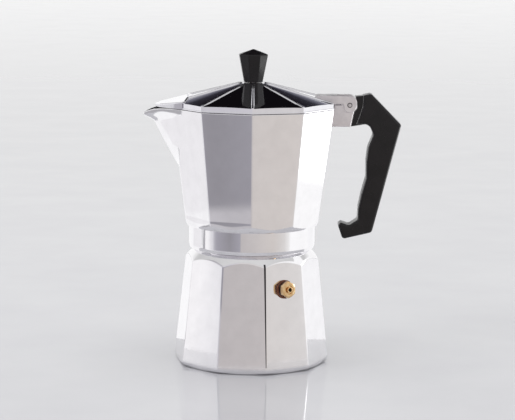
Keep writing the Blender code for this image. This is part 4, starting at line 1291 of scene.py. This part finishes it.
    def lug(self, pin: Vector) -> bpy.types.Mesh:
        """Return the forked hinge lug.

        Args:
            pin: the hinge pin's middle.

        Returns:
            The lug's mesh, in metres.
        """
        bottom = pin.z - 14.8
        end_x = pin.x + 2.64
        top = pin.z + 4.4
        outline = outline_arcs([
            (self.rim_r - 6.0, bottom, 0.0), (end_x - 1.97, bottom, 0.8),
            (end_x + 0.3, pin.z - 4.4, 1.5), (pin.x + 4.4, pin.z - 2.2, 2.0),
            (pin.x + 4.4, top, 3.96), (pin.x - 4.4, top, 2.64),
            (pin.x - 5.6, self.rim_z + 2.1, 0.0), (self.rim_r - 2.3, self.rim_z + 2.1, 0.0),
            (self.rim_r - 2.3, self.rim_z - 0.6, 0.0), (self.rim_r - 3.4, self.rim_z - 0.6, 0.0)])
        parts = [loft_mesh("lug_plate", slab_rings(outline, low, high, 0.45, 3))
                 for low, high in ((-5.0, -2.6), (2.6, 5.0))]
        base = np.array([(self.rim_r - 6.0, bottom), (pin.x - 0.2, bottom + 0.1),
                         (pin.x + 0.2, bottom + 2.9), (self.rim_r - 3.8, bottom + 2.9)])
        parts.append(loft_mesh("lug_base", slab_rings(base, -2.8, 2.8, 0.1, 2)))
        back = np.array([(self.rim_r - 5.4, bottom), (pin.x - 7.0, bottom),
                         (pin.x - 6.8, self.rim_z - 0.7), (self.rim_r - 3.6, self.rim_z - 0.7)])
        parts.append(loft_mesh("lug_back", slab_rings(back, -2.8, 2.8, 0.1, 2)))
        return join_meshes("collector_lug", parts)

    def build(self) -> None:
        """Build and dress the collector and its lug."""
        place_piece("collector_shell", self.shell(), self.finishes.body, Body.COLLECTOR,
                    ["collector"])
        place_piece("collector_lug", self.lug(pin_middle()), self.finishes.satin,
                    Body.COLLECTOR, even=False)


# ---------------------------------------------------------------- lid

@dataclass
class Lid:
    """The ribbed lid with its spout cover and hinge block."""

    finishes: Finishes
    collector: Collector
    skirt: float = 3.5
    wall: float = 1.8
    seat_r: float = 7.4
    rib_half: float = 1.15
    rib_height: float = 0.75
    crown: float = 0.02
    cover_nose_x: float = 66.6
    cover_corner_x: float = 62.0
    cover_inner_x: float = 41.3
    cover_rise: float = 1.4
    cover_slope: float = 0.176
    web_end_x: float = 56.3
    cheek_inner: float = 5.3
    cheek_t: float = 2.4
    cheek_end_r: float = 4.8
    cheek_low_z: float = 175.3
    cheek_top_z: float = 181.0
    rib_points: tuple[float, ...] = (-1.0, -0.72, -0.42, -0.14, 0.14, 0.42, 0.72, 1.0)
    flat_points: int = 9
    lip_share: float = 0.97
    skirt_share: float = 0.9935
    screw_hole_r: float = 2.2

    @property
    def low_z(self) -> float:
        """Return the height of the lid's lower edge."""
        return self.collector.rim_z + 0.3

    @property
    def edge_z(self) -> float:
        """Return the height where skirt and dome meet."""
        return self.low_z + self.skirt

    def seat_z(self) -> float:
        """Return the height of the knob's seat."""
        return cad_box("lid")[1].z

    def plan(self, share: float, z: float, rib: float = 0.0, crowned: bool = False) -> Ring:
        """Return one ring of the dome.

        Args:
            share: its size as a share of the rim's.
            z: its height between the ribs.
            rib: height of the ribs on it.
            crowned: whether the facets bow up a little between the ribs.

        Returns:
            The ring's points.
        """
        corners = regular(self.collector.rim_r * share, FACET / 2.0)
        side = np.linalg.norm(corners[1] - corners[0])
        half = min(self.rib_half * (0.72 + 0.28 * share), side * 0.3)
        points = []
        for i in range(SIDES):
            back = (corners[i - 1] - corners[i]) / side
            ahead = (corners[(i + 1) % SIDES] - corners[i]) / side
            for place in self.rib_points:
                way = back if place < 0.0 else ahead
                spot = corners[i] + way * abs(place) * half
                lift = rib * max(0.0, 1.0 - abs(place) ** 2.2)
                points.append((spot[0], spot[1], z + lift))
            following = corners[(i + 1) % SIDES]
            for k in range(1, self.flat_points + 1):
                t = half / side + (1.0 - 2.0 * half / side) * k / (self.flat_points + 1)
                spot = corners[i] + (following - corners[i]) * t
                bow = self.crown * side / 2.0 * (1.0 - (2.0 * t - 1.0) ** 2) if crowned else 0.0
                points.append((spot[0], spot[1], z + bow))
        return np.array(points)

    def dome(self) -> bpy.types.Mesh:
        """Build the ribbed dome without its spout corner.

        Returns:
            The dome's mesh, in metres.
        """
        seat_z = self.seat_z()
        seat = self.seat_r / self.collector.rim_r
        shares = [1.0 - (1.0 - seat) * t for t in (0.008, 0.06, 0.2, 0.4, 0.6, 0.8, 0.95)]

        def height(share: float) -> float:
            """Return the dome's height at a share of the rim's size."""
            return self.edge_z + (seat_z - self.edge_z) * (1.0 - share) / (1.0 - seat)

        rings = [self.plan(share, z) for share, z in (
            (self.lip_share, self.low_z), (1.0, self.low_z), (1.0, self.low_z + 0.7),
            (self.skirt_share, self.low_z + 1.0), (self.skirt_share, self.edge_z - 0.2))]
        widths = [0.0, 0.25, 0.3, 0.2, 0.45]
        for place, share in enumerate(shares):
            rib = self.rib_height if share > seat + 0.02 else self.rib_height * 0.5
            rings.append(self.plan(share, height(share), rib if place else rib * 0.7, True))
            widths.append(0.0)
        for radius, z in ((self.seat_r, seat_z), (self.screw_hole_r, seat_z),
                          (self.screw_hole_r, seat_z - self.wall)):
            rings.append(circle_like(rings[-1], radius, z))
        widths += [0.0, 0.2, 0.2]
        rings += [self.plan(share, height(share) - self.wall) for share in (0.2, 0.6, 0.93)]
        rings.append(self.plan(self.lip_share, self.edge_z - self.wall))
        widths += [0.0, 0.0, 0.0, 0.5]
        dome = loft_mesh("lid_dome", soften(rings, widths, 3), closed=True)
        return boolean(dome, self.wedge(), "DIFFERENCE")

    def wedge(self) -> bpy.types.Mesh:
        """Build the cutter that opens the dome over the spout.

        Returns:
            The cutter's mesh, in metres.
        """
        seam = self.collector.corners(self.collector.rim_z)[4]
        centre = np.array([-self.cover_inner_x, 0.0])
        left = centre + (seam - centre) * 1.3
        far = -self.collector.spout_tip_x - 10.0
        plan = np.array([centre, left, (far, left[1]), (far, -left[1]), (left[0], -left[1])])
        rings = [np.column_stack((plan, np.full(len(plan), z)))
                 for z in (self.low_z - 5.0, self.seat_z() + 5.0)]
        return loft_mesh("wedge", rings)

    def cover_z(self, x: np.ndarray) -> np.ndarray:
        """Return the top of the spout cover at places along X."""
        return self.low_z + self.cover_rise + self.cover_slope * (x + self.cover_nose_x)

    def cover(self) -> bpy.types.Mesh:
        """Build the plate that covers the spout.

        Returns:
            The plate's mesh, in metres.
        """
        rim = self.collector.corners(self.collector.rim_z)
        seam = inset(rim, 0.1)[4]
        tip = -self.collector.spout_tip_x
        corner_y = seam[1] * (-self.cover_corner_x - tip) / (seam[0] - tip)
        outline = outline_arcs([
            (seam[0], -seam[1], 0.0), (-self.cover_inner_x + self.wall * 2.2, -seam[1] * 0.4, 0.0),
            (-self.cover_inner_x + self.wall * 2.2, seam[1] * 0.4, 0.0), (seam[0], seam[1], 0.0),
            (-self.cover_corner_x, corner_y, 2.4), (-self.cover_nose_x, 0.0, 14.0),
            (-self.cover_corner_x, -corner_y, 2.4)], 10)
        dense: list[np.ndarray] = []
        for i, point in enumerate(outline):
            following = outline[(i + 1) % len(outline)]
            parts = max(1, int(np.linalg.norm(following - point) / 2.5))
            dense += [point + (following - point) * k / parts for k in range(parts)]
        plan = np.array(dense)
        bottom = np.column_stack((plan, np.full(len(plan), self.low_z + 0.02)))
        top = np.column_stack((plan, self.cover_z(plan[:, 0])))
        crown = plan * np.array([0.985, 0.97])
        crown_top = np.column_stack((crown, self.cover_z(crown[:, 0]) + 0.12))
        return loft_mesh("lid_cover", soften([bottom, top, crown_top], [0.0, 0.7, 0.0], 4))

    def seam_ribs(self) -> bpy.types.Mesh:
        """Build the two raised ribs where the dome ends over the spout.

        Returns:
            Both ribs as one mesh, in metres.
        """
        seam = self.collector.corners(self.collector.rim_z)[4]
        seat = self.seat_r / self.collector.rim_r
        meshes = []
        for side in (1.0, -1.0):
            start = np.array([-self.cover_inner_x + 0.2, 0.0])
            end = np.array([seam[0] + 0.8, side * (seam[1] - 0.4)])
            way = (end - start) / np.linalg.norm(end - start)
            across = np.array([-way[1], way[0]]) * side * -1.0
            rings = []
            for t in np.linspace(0.0, 1.0, 14):
                spot = start + (end - start) * t
                facet = np.max(np.column_stack([
                    np.cos(np.arange(SIDES) * FACET), np.sin(np.arange(SIDES) * FACET)]) @ spot)
                share = facet / (self.collector.rim_r * HALF_FACET_COS)
                z = self.edge_z + (self.seat_z() - self.edge_z) * (1.0 - share) / (1.0 - seat)
                section = []
                for angle in np.linspace(0.0, 2.0 * math.pi, 13)[:-1]:
                    away = spot + across * math.cos(angle) * 0.95
                    section.append((away[0], away[1], z + 0.15 + 0.75 * math.sin(angle)))
                rings.append(np.array(section))
            meshes.append(loft_mesh("seam_rib", rings))
        return join_meshes("lid_seam_ribs", meshes)

    def hinge_block(self, pin: Vector) -> bpy.types.Mesh:
        """Return the web on the dome and the two cheeks.

        Args:
            pin: the hinge pin's middle.

        Returns:
            The block's mesh, in metres.
        """
        outer = self.cheek_inner + self.cheek_t
        start = self.collector.rim_r * HALF_FACET_COS - 12.0
        web = outline_arcs([
            (start - 6.0, self.edge_z - 0.4, 0.0),
            (self.web_end_x, self.edge_z - self.wall + 0.6, 0.6),
            (self.web_end_x, self.cheek_top_z, 0.0), (start + 1.0, self.cheek_top_z, 3.0)])
        cheek = outline_arcs([
            (self.web_end_x - 4.0, self.cheek_low_z + 0.2, 0.0),
            (pin.x - self.cheek_end_r + 0.4, self.cheek_low_z, 0.0),
            (pin.x - self.cheek_end_r + 1.8, pin.z - self.cheek_end_r, 2.0),
            (pin.x + self.cheek_end_r, pin.z - self.cheek_end_r, self.cheek_end_r * 0.95),
            (pin.x + self.cheek_end_r, self.cheek_top_z, self.cheek_end_r * 0.95),
            (self.web_end_x - 4.0, self.cheek_top_z, 0.0)])
        side = outer - 0.12
        parts = [loft_mesh("web", slab_rings(web, -side, side, 0.5, 3))]
        for low, high in ((-outer, -self.cheek_inner), (self.cheek_inner, outer)):
            parts.append(loft_mesh("cheek", slab_rings(cheek, low, high, 0.55, 4)))
        return join_meshes("lid_hinge_block", parts)

    def build(self) -> None:
        """Build and dress the lid."""
        for name, mesh, stands_for in (("lid_dome", self.dome(), ["lid"]),
                                       ("lid_cover", self.cover(), []),
                                       ("lid_seam_ribs", self.seam_ribs(), [])):
            place_piece(name, mesh, self.finishes.lid, Body.LID, stands_for)
        place_piece("lid_hinge_block", self.hinge_block(pin_middle()), self.finishes.satin,
                    Body.LID)


# ---------------------------------------------------------------- knob

@dataclass
class Knob:
    """The black eight-sided knob with a low pointed top."""

    finishes: Finishes
    turn: float = math.radians(252.0)
    sides: int = 8
    base_r: float = 6.65
    top_r: float = 10.35
    shoulder_drop: float = 3.4
    edge_cut: float = 0.45
    bore_r: float = 3.8
    bore_depth: float = 12.0
    top_swell: float = 0.15
    point_r: float = 0.6

    def ring(self, radius: float, z: float) -> Ring:
        """Return one eight-sided ring."""
        cut = min(self.edge_cut, radius * 0.2)
        return rounded_plan(regular(radius, self.turn, self.sides), [cut] * self.sides, z, 3, 5)

    def build(self) -> None:
        """Build and dress the knob."""
        low, high = cad_box("knob")
        shoulder = high.z - self.shoulder_drop
        base = self.ring(self.base_r, low.z)
        rings = [circle_like(base, self.bore_r, low.z + self.bore_depth),
                 circle_like(base, self.bore_r, low.z), base]
        rings += [self.ring(radius, z) for radius, z in (
            ((self.base_r + self.top_r) / 2.0, (low.z + shoulder) / 2.0),
            (self.top_r, shoulder),
            (self.top_r * 0.5, (shoulder + high.z) / 2.0 + self.top_swell),
            (self.point_r, high.z))]
        widths = [0.0, 0.2, 0.3, 0.0, 0.75, 0.0, 0.0]
        mesh = loft_mesh("knob_grip", soften(rings, widths))
        place_piece("knob_grip", mesh, self.finishes.phenolic, Body.LID, ["knob"])


# ---------------------------------------------------------------- handle

@dataclass
class Handle:
    """The black handle with finger waves inside and a hooked end."""

    finishes: Finishes
    half: float = 7.5
    bevel: float = 2.0
    neck_half: float = 4.7
    tongue_half: float = 2.3
    neck_clear: float = 8.9

    def grip(self, pin: Vector) -> np.ndarray:
        """Return the side view of the grip.

        Args:
            pin: the hinge pin's middle.

        Returns:
            The outline's points.
        """
        inner = pin.x + self.neck_clear
        return outline_arcs([
            (inner + 0.2, 181.3, 0.0), (78.9, 182.5, 2.4), (99.4, 161.7, 2.4),
            (80.8, 88.8, 3.0), (61.1, 84.1, 2.2), (56.9, 96.4, 2.1), (65.4, 93.6, 2.4),
            (71.1, 97.4, 3.0), (71.3, 105.4, 8.0), (73.3, 115.2, 14.0), (76.3, 126.2, 2.5),
            (76.2, 137.2, 6.0), (77.2, 146.0, 12.0), (80.8, 155.2, 5.0), (77.6, 162.0, 5.0),
            (inner - 4.2, 161.9, 0.0), (inner - 1.4, pin.z - 5.2, 0.0), (inner, pin.z - 0.2, 0.0)],
            9)

    def neck(self, pin: Vector) -> np.ndarray:
        """Return the side view of the narrow neck beside the lug.

        Args:
            pin: the hinge pin's middle.

        Returns:
            The outline's points.
        """
        end = pin.x + 4.7
        return outline_arcs([
            (pin.x + 3.9, 180.4, 0.0), (end + 0.2, pin.z + 2.6, 0.0), (end + 0.2, pin.z - 2.6, 0.0),
            (end - 1.3, pin.z - 4.9, 0.0), (end - 3.5, pin.z - 14.5, 0.0),
            (80.0, pin.z - 12.2, 0.0), (80.0, 181.0, 0.0), (77.5, 181.4, 0.0)])

    def tongue(self, pin: Vector) -> np.ndarray:
        """Return the side view of the tongue inside the lug's fork.

        Args:
            pin: the hinge pin's middle.

        Returns:
            The outline's points.
        """
        low = pin.z - 11.5
        return outline_arcs([
            (pin.x - 6.5, low, 0.0), (74.0, low, 0.0), (74.0, pin.z + 4.0, 0.0),
            (pin.x - 3.6, pin.z + 4.0, 1.5), (pin.x - 6.5, pin.z - 1.0, 0.0)])

    def build(self) -> None:
        """Build and dress the handle."""
        pin = pin_middle()
        parts = [loft_mesh("handle_part", slab_rings(outline, -half, half, bevel, steps))
                 for outline, half, bevel, steps in (
                     (self.grip(pin), self.half, self.bevel, 8),
                     (self.neck(pin), self.neck_half, 0.4, 3),
                     (self.tongue(pin), self.tongue_half, 0.2, 2))]
        mesh = join_meshes("handle_grip", parts)
        grip = place_piece("handle_grip", mesh, self.finishes.phenolic, Body.COLLECTOR,
                           ["handle"])
        # The soft white light from the side drowns its mirror image on the chamber.
        grip.visible_glossy = False


# ---------------------------------------------------------------- pieces that keep their CAD shape

@dataclass
class InnerPieces:
    """The CAD pieces whose own shape stays, each with its finish."""

    finishes: Finishes

    @staticmethod
    def pin_centre() -> Vector:
        """Return the hinge pin's middle in its own space, in metres."""
        low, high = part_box("hinge_pin")
        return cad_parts["hinge_pin"].matrix_world.inverted() @ ((low + high) / 2.0)

    def dress(self) -> None:
        """Give each piece its material and even shading."""
        table = {
            "funnel": self.finishes.sheet,
            "funnel_screen": self.finishes.sheet,
            "filter_plate": self.finishes.sheet,
            "gasket": self.finishes.silicone,
            "column": self.finishes.satin,
            "valve_seal": self.finishes.fibre,
            "valve_plunger": self.finishes.plunger,
            "valve_spring": self.finishes.steel,
            "hinge_pin": StakedPin(spot=self.pin_centre()).build(),
            "knob_insert": self.finishes.brass,
            "knob_screw": self.finishes.steel,
            "knob_washer": self.finishes.steel,
        }
        for node, finish in table.items():
            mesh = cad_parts[node].data
            mesh.materials.clear()
            mesh.materials.append(finish)
            mesh.shade_smooth()
            mesh.set_sharp_from_angle(angle=CAD_SMOOTH_LIMIT)
            LOG.info("%s: dressed as %s", node, finish.name)


# ---------------------------------------------------------------- studio

@dataclass
class Studio:
    """Floor, sky, lights and camera."""

    table_half: float = 14.0
    cloud_mm: float = 90.0
    camera_place: tuple[float, float, float] = (0.00367, -1.2951, 0.2975)
    camera_tip: float = math.radians(81.437)
    camera_roll: float = math.radians(0.54)
    lens: float = 135.4
    screen_radius: float = 0.21
    screen_span: tuple[float, float] = (-86.0, 114.0)
    screen_glow: float = 4.5
    glow_bearings: tuple[float, float] = (76.0, 86.0)
    glow_rise_z: tuple[float, float] = (0.075, 0.085)
    glow_fall_z: tuple[float, float] = (0.135, 0.145)
    screen_strength: float = 1.08
    card_rise: float = 0.0006
    foot_seam_z: tuple[float, float] = (0.038, 0.046)
    upper_seam_z: tuple[float, float] = (0.125, 0.150)
    foot_row: tuple[tuple[float, str], ...] = (
        (-79.0, "#FAF9FA"), (-70.0, "#E4E3E7"), (-60.0, "#CDCBD0"), (-25.0, "#BCB9BD"),
        (-16.0, "#BFBABA"), (0.0, "#C6C1C0"), (36.0, "#D2CCC8"), (56.0, "#DCD9D7"),
        (62.0, "#ECEBEA"), (70.0, "#FFFFFF"))
    middle_row: tuple[tuple[float, str], ...] = (
        (-79.0, "#FAF9FA"), (-70.0, "#DAD9DE"), (-60.0, "#A6A4AD"), (-36.0, "#959399"),
        (-18.5, "#A5A3AC"), (-17.5, "#BFBABA"), (0.0, "#C6C1C0"), (36.0, "#D2CCC8"),
        (56.0, "#DCD9D7"), (62.0, "#ECEBEA"), (70.0, "#FFFFFF"))
    upper_row: tuple[tuple[float, str], ...] = (
        (-86.0, "#B2B0B5"), (-70.0, "#B9B7BC"), (-40.0, "#CFCDD2"), (-18.5, "#D2D0D5"),
        (-17.5, "#D8D5D4"), (40.0, "#D8D5D4"), (60.0, "#FFFFFF"))
    screen_height: float = 0.26
    side_card: tuple[float, float, float, float] = (-0.36, 0.058, 0.30, 0.26)
    floor_card: tuple[float, float, float, float] = (-0.70, -0.212, -0.14, 0.058)
    back_card: tuple[float, float, float, float] = (-0.50, 0.80, 0.065, 1.2)

    def camera(self) -> None:
        """Make the camera."""
        data = bpy.data.cameras.new("camera")
        data.lens = self.lens
        data.sensor_width = 36.0
        data.clip_start = 0.05
        data.clip_end = 60.0
        item = bpy.data.objects.new("camera", data)
        item.matrix_world = (Matrix.Translation(self.camera_place)
                             @ Matrix.Rotation(self.camera_tip, 4, "X")
                             @ Matrix.Rotation(self.camera_roll, 4, "Z"))
        bpy.context.scene.collection.objects.link(item)
        bpy.context.scene.camera = item

    def floor(self) -> None:
        """Make the pale glossy table."""
        mesh = bpy.data.meshes.new("table")
        mesh.from_pydata([(self.table_half * x, self.table_half * y, 0.0)
                          for x, y in ((-1, -1), (1, -1), (1, 1), (-1, 1))], [], [(0, 1, 2, 3)])
        table = bpy.data.objects.new("table", mesh)
        table.location = (0.0, 0.0, -0.0002)
        bpy.context.scene.collection.objects.link(table)
        material = new_material("polished_pale_stone")
        cloud = surface_noise(material.node_tree, self.cloud_mm, detail=4.0)
        coat(material, cloud, ("#C9C9CD", "#C2C2C7"), (0.05, 0.08))
        mesh.materials.append(material)

    def sky(self) -> None:
        """Make the surroundings: pale walls with one dark doorway behind the pot."""
        world = bpy.data.worlds.new("room")
        bpy.context.scene.world = world
        world.use_nodes = True
        tree = world.node_tree
        tree.nodes.clear()
        place = add(tree, "ShaderNodeTexCoord")
        split = add(tree, "ShaderNodeSeparateXYZ", {"Vector": place.outputs["Generated"]})
        height = split.outputs["Z"]
        # A dark doorway behind the pot gives the lid its black and the body its contrast.
        far_wall = add(tree, "ShaderNodeValToRGB", {"Fac": height}, stops=[
            (0.0, 1.0), (0.275, 1.0), (0.315, "#82828E"), (0.36, "#2E2D35"), (0.44, "#0F0D10"),
            (0.80, "#0F0D10"), (0.90, "#6A6A70")])
        near_wall = add(tree, "ShaderNodeValToRGB", {"Fac": height}, stops=[
            (0.0, 1.0), (0.32, 1.0), (0.5, 0.60), (1.0, 0.72)])
        behind = add(tree, "ShaderNodeMapRange", {"Value": split.outputs["Y"], "From Min": 0.15,
                                                  "From Max": 0.5})
        aside = add(tree, "ShaderNodeMath", {0: split.outputs["X"]}, operation="ABSOLUTE")
        narrow = add(tree, "ShaderNodeMapRange", {"Value": aside.outputs[0], "From Min": 0.30,
                                                  "From Max": 0.48, "To Min": 1.0, "To Max": 0.0})
        window = add(tree, "ShaderNodeMath", {0: behind.outputs["Result"],
                                              1: narrow.outputs["Result"]}, operation="MULTIPLY")
        room = add(tree, "ShaderNodeMix", {0: window.outputs[0],
                                           6: near_wall.outputs["Color"],
                                           7: far_wall.outputs["Color"]}, data_type="RGBA")
        glow = add(tree, "ShaderNodeBackground", {"Color": room.outputs[2], "Strength": 1.05})
        add(tree, "ShaderNodeOutputWorld", {"Surface": glow.outputs["Background"]})

    def screen(self) -> None:
        """Make the curved toned screen on the near side, which only reflections see."""
        low_angle, high_angle = self.screen_span
        bearings = np.arange(low_angle, high_angle + 1.0, 2.0)
        turns = np.radians(bearings - 90.0)
        radius = self.screen_radius
        around = np.column_stack((radius * np.cos(turns), radius * np.sin(turns)))
        points = [(x, y, z) for z in (0.0, self.screen_height) for x, y in around]
        count = len(bearings)
        faces = [(i, i + 1, count + i + 1, count + i) for i in range(count - 1)]
        material, tree = self.card_material("toned_card")
        place = add(tree, "ShaderNodeTexCoord")
        split = add(tree, "ShaderNodeSeparateXYZ", {"Vector": place.outputs["Object"]})
        away = add(tree, "ShaderNodeMath", {0: split.outputs["Y"], 1: -1.0}, operation="MULTIPLY")
        angle = add(tree, "ShaderNodeMath", {0: split.outputs["X"], 1: away.outputs[0]},
                    operation="ARCTAN2")
        turn = add(tree, "ShaderNodeMapRange", {"Value": angle.outputs[0],
                                                "From Min": math.radians(low_angle),
                                                "From Max": math.radians(high_angle)})
        # Three rows of tones, one over the other, blend where they meet.
        tone: bpy.types.NodeSocket | None = None
        for row, seam in ((self.foot_row, None), (self.middle_row, self.foot_seam_z),
                          (self.upper_row, self.upper_seam_z)):
            stops = [((bearing - low_angle) / (high_angle - low_angle), colour)
                     for bearing, colour in row]
            tones = add(tree, "ShaderNodeValToRGB", {"Fac": turn.outputs["Result"]}, stops=stops)
            if seam is None:
                tone = tones.outputs["Color"]
                continue
            above = add(tree, "ShaderNodeMapRange", {"Value": split.outputs["Z"],
                                                     "From Min": seam[0], "From Max": seam[1]})
            tone = add(tree, "ShaderNodeMix", {0: above.outputs["Result"], 6: tone,
                                               7: tones.outputs["Color"]},
                       data_type="RGBA").outputs[2]
        # Its right end glows more, in the band that lights the facets beside the handle.
        aside = add(tree, "ShaderNodeMapRange", {
            "Value": angle.outputs[0], "From Min": math.radians(self.glow_bearings[0]),
            "From Max": math.radians(self.glow_bearings[1]), "To Min": 0.0,
            "To Max": self.screen_glow - 1.0})
        rise, fall = self.glow_rise_z, self.glow_fall_z
        raised = add(tree, "ShaderNodeMapRange", {
            "Value": split.outputs["Z"], "From Min": rise[0], "From Max": rise[1]})
        lowered = add(tree, "ShaderNodeMapRange", {
            "Value": split.outputs["Z"], "From Min": fall[0], "From Max": fall[1],
            "To Min": 1.0, "To Max": 0.0})
        band = add(tree, "ShaderNodeMath", {0: raised.outputs["Result"],
                                            1: lowered.outputs["Result"]}, operation="MULTIPLY")
        glow = add(tree, "ShaderNodeMath", {0: aside.outputs["Result"], 1: band.outputs[0],
                                            2: self.screen_strength}, operation="MULTIPLY_ADD")
        card = tree.nodes["card"]
        tree.links.new(tone, card.inputs["Color"])
        tree.links.new(glow.outputs[0], card.inputs["Strength"])
        self.card("toned_screen", points, faces, material)

    def side_cards(self) -> None:
        """Make the white card beside the spout and the two cards that lie on the table."""
        x, low_y, high_y, height = self.side_card
        material, tree = self.card_material("white_card")
        tree.nodes["card"].inputs["Color"].default_value = linear("#F8F7F9")
        self.card("side_card", [(x, high_y, 0.0), (x, low_y, 0.0), (x, low_y, height),
                                (x, high_y, height)], [(0, 1, 2, 3)], material)
        self.table_card("grey_card", self.floor_card, "#B4B3B7", 1.0)
        self.table_card("back_card", self.back_card, "#FAFAFB", 1.08)

    def table_card(self, name: str, span: tuple[float, float, float, float], tone: str,
                   strength: float) -> None:
        """Lay a card on the table that only the metal's reflections see.

        Args:
            name: its name.
            span: its left, right, near and far edges in metres.
            tone: its hex colour.
            strength: how bright it is.
        """
        left, right, near, far = span
        material, tree = self.card_material(name)
        tree.nodes["card"].inputs["Color"].default_value = linear(tone)
        tree.nodes["card"].inputs["Strength"].default_value = strength
        points = [(left, near, self.card_rise), (left, far, self.card_rise),
                  (right, far, self.card_rise), (right, near, self.card_rise)]
        self.card(name, points, [(0, 1, 2, 3)], material)

    @staticmethod
    def card_material(name: str) -> tuple[bpy.types.Material, bpy.types.NodeTree]:
        """Make a material that shows only on a card's inner side.

        Args:
            name: the material's name.

        Returns:
            The material and its tree, whose emission node is called card.
        """
        material = bpy.data.materials.new(name)
        material.use_nodes = True
        tree = material.node_tree
        tree.nodes.clear()
        card = add(tree, "ShaderNodeEmission", name="card")
        clear = add(tree, "ShaderNodeBsdfTransparent")
        side = add(tree, "ShaderNodeNewGeometry")
        mix = add(tree, "ShaderNodeMixShader", {0: side.outputs["Backfacing"],
                                                1: clear.outputs["BSDF"],
                                                2: card.outputs["Emission"]})
        add(tree, "ShaderNodeOutputMaterial", {"Surface": mix.outputs["Shader"]})
        return material, tree

    @staticmethod
    def card(name: str, points: Sequence[tuple[float, float, float]],
             faces: Sequence[Sequence[int]], material: bpy.types.Material) -> None:
        """Stage a card that only reflections see.

        Args:
            name: its name.
            points: its corners, in metres.
            faces: its faces, whose backs are its inner side.
            material: its material.
        """
        mesh = bpy.data.meshes.new(name)
        mesh.from_pydata(list(points), [], list(faces))
        mesh.materials.append(material)
        item = bpy.data.objects.new(name, mesh)
        bpy.context.scene.collection.objects.link(item)
        item.visible_camera = False
        item.visible_diffuse = False
        item.visible_shadow = False
        item.visible_transmission = False

    @staticmethod
    def light(name: str, place: tuple[float, float, float], target: tuple[float, float, float],
              size: float, power: float) -> None:
        """Add a square soft light that reflections don't see.

        Args:
            name: its name.
            place: where it hangs, in metres.
            target: what it points at.
            size: its side in metres.
            power: its power in watts.
        """
        data = bpy.data.lights.new(name, "AREA")
        data.shape = "SQUARE"
        data.size = size
        data.energy = power
        item = bpy.data.objects.new(name, data)
        way = Vector(target) - Vector(place)
        item.matrix_world = (Matrix.Translation(place)
                             @ way.to_track_quat("-Z", "Y").to_matrix().to_4x4())
        item.visible_glossy = False
        bpy.context.scene.collection.objects.link(item)

    def build(self) -> None:
        """Set up the whole studio."""
        self.camera()
        self.floor()
        self.sky()
        self.screen()
        self.side_cards()
        self.light("overhead_softbox", (0.0, 0.0, 1.6), (0.0, 0.0, 0.0), 1.1, 8.0)
        self.light("side_softbox", (-1.3, -0.9, 1.1), (0.0, 0.0, 0.1), 1.0, 6.0)
        settings = bpy.context.scene.view_settings
        settings.view_transform = "Standard"
        settings.look = "None"


# ---------------------------------------------------------------- whole pot


def main() -> None:
    """Build the pot's looks, piece by piece."""
    logging.basicConfig(level=logging.INFO, format="%(name)s: %(message)s")
    finishes = Finishes()
    thread = Thread()
    boiler = Boiler(finishes, thread)
    boiler.build()
    Valve(finishes, boiler).build()
    collector = Collector(finishes, thread)
    collector.build()
    Lid(finishes, collector).build()
    Knob(finishes).build()
    Handle(finishes).build()
    InnerPieces(finishes).dress()
    Studio().build()


if __name__ == "__main__":
    main()
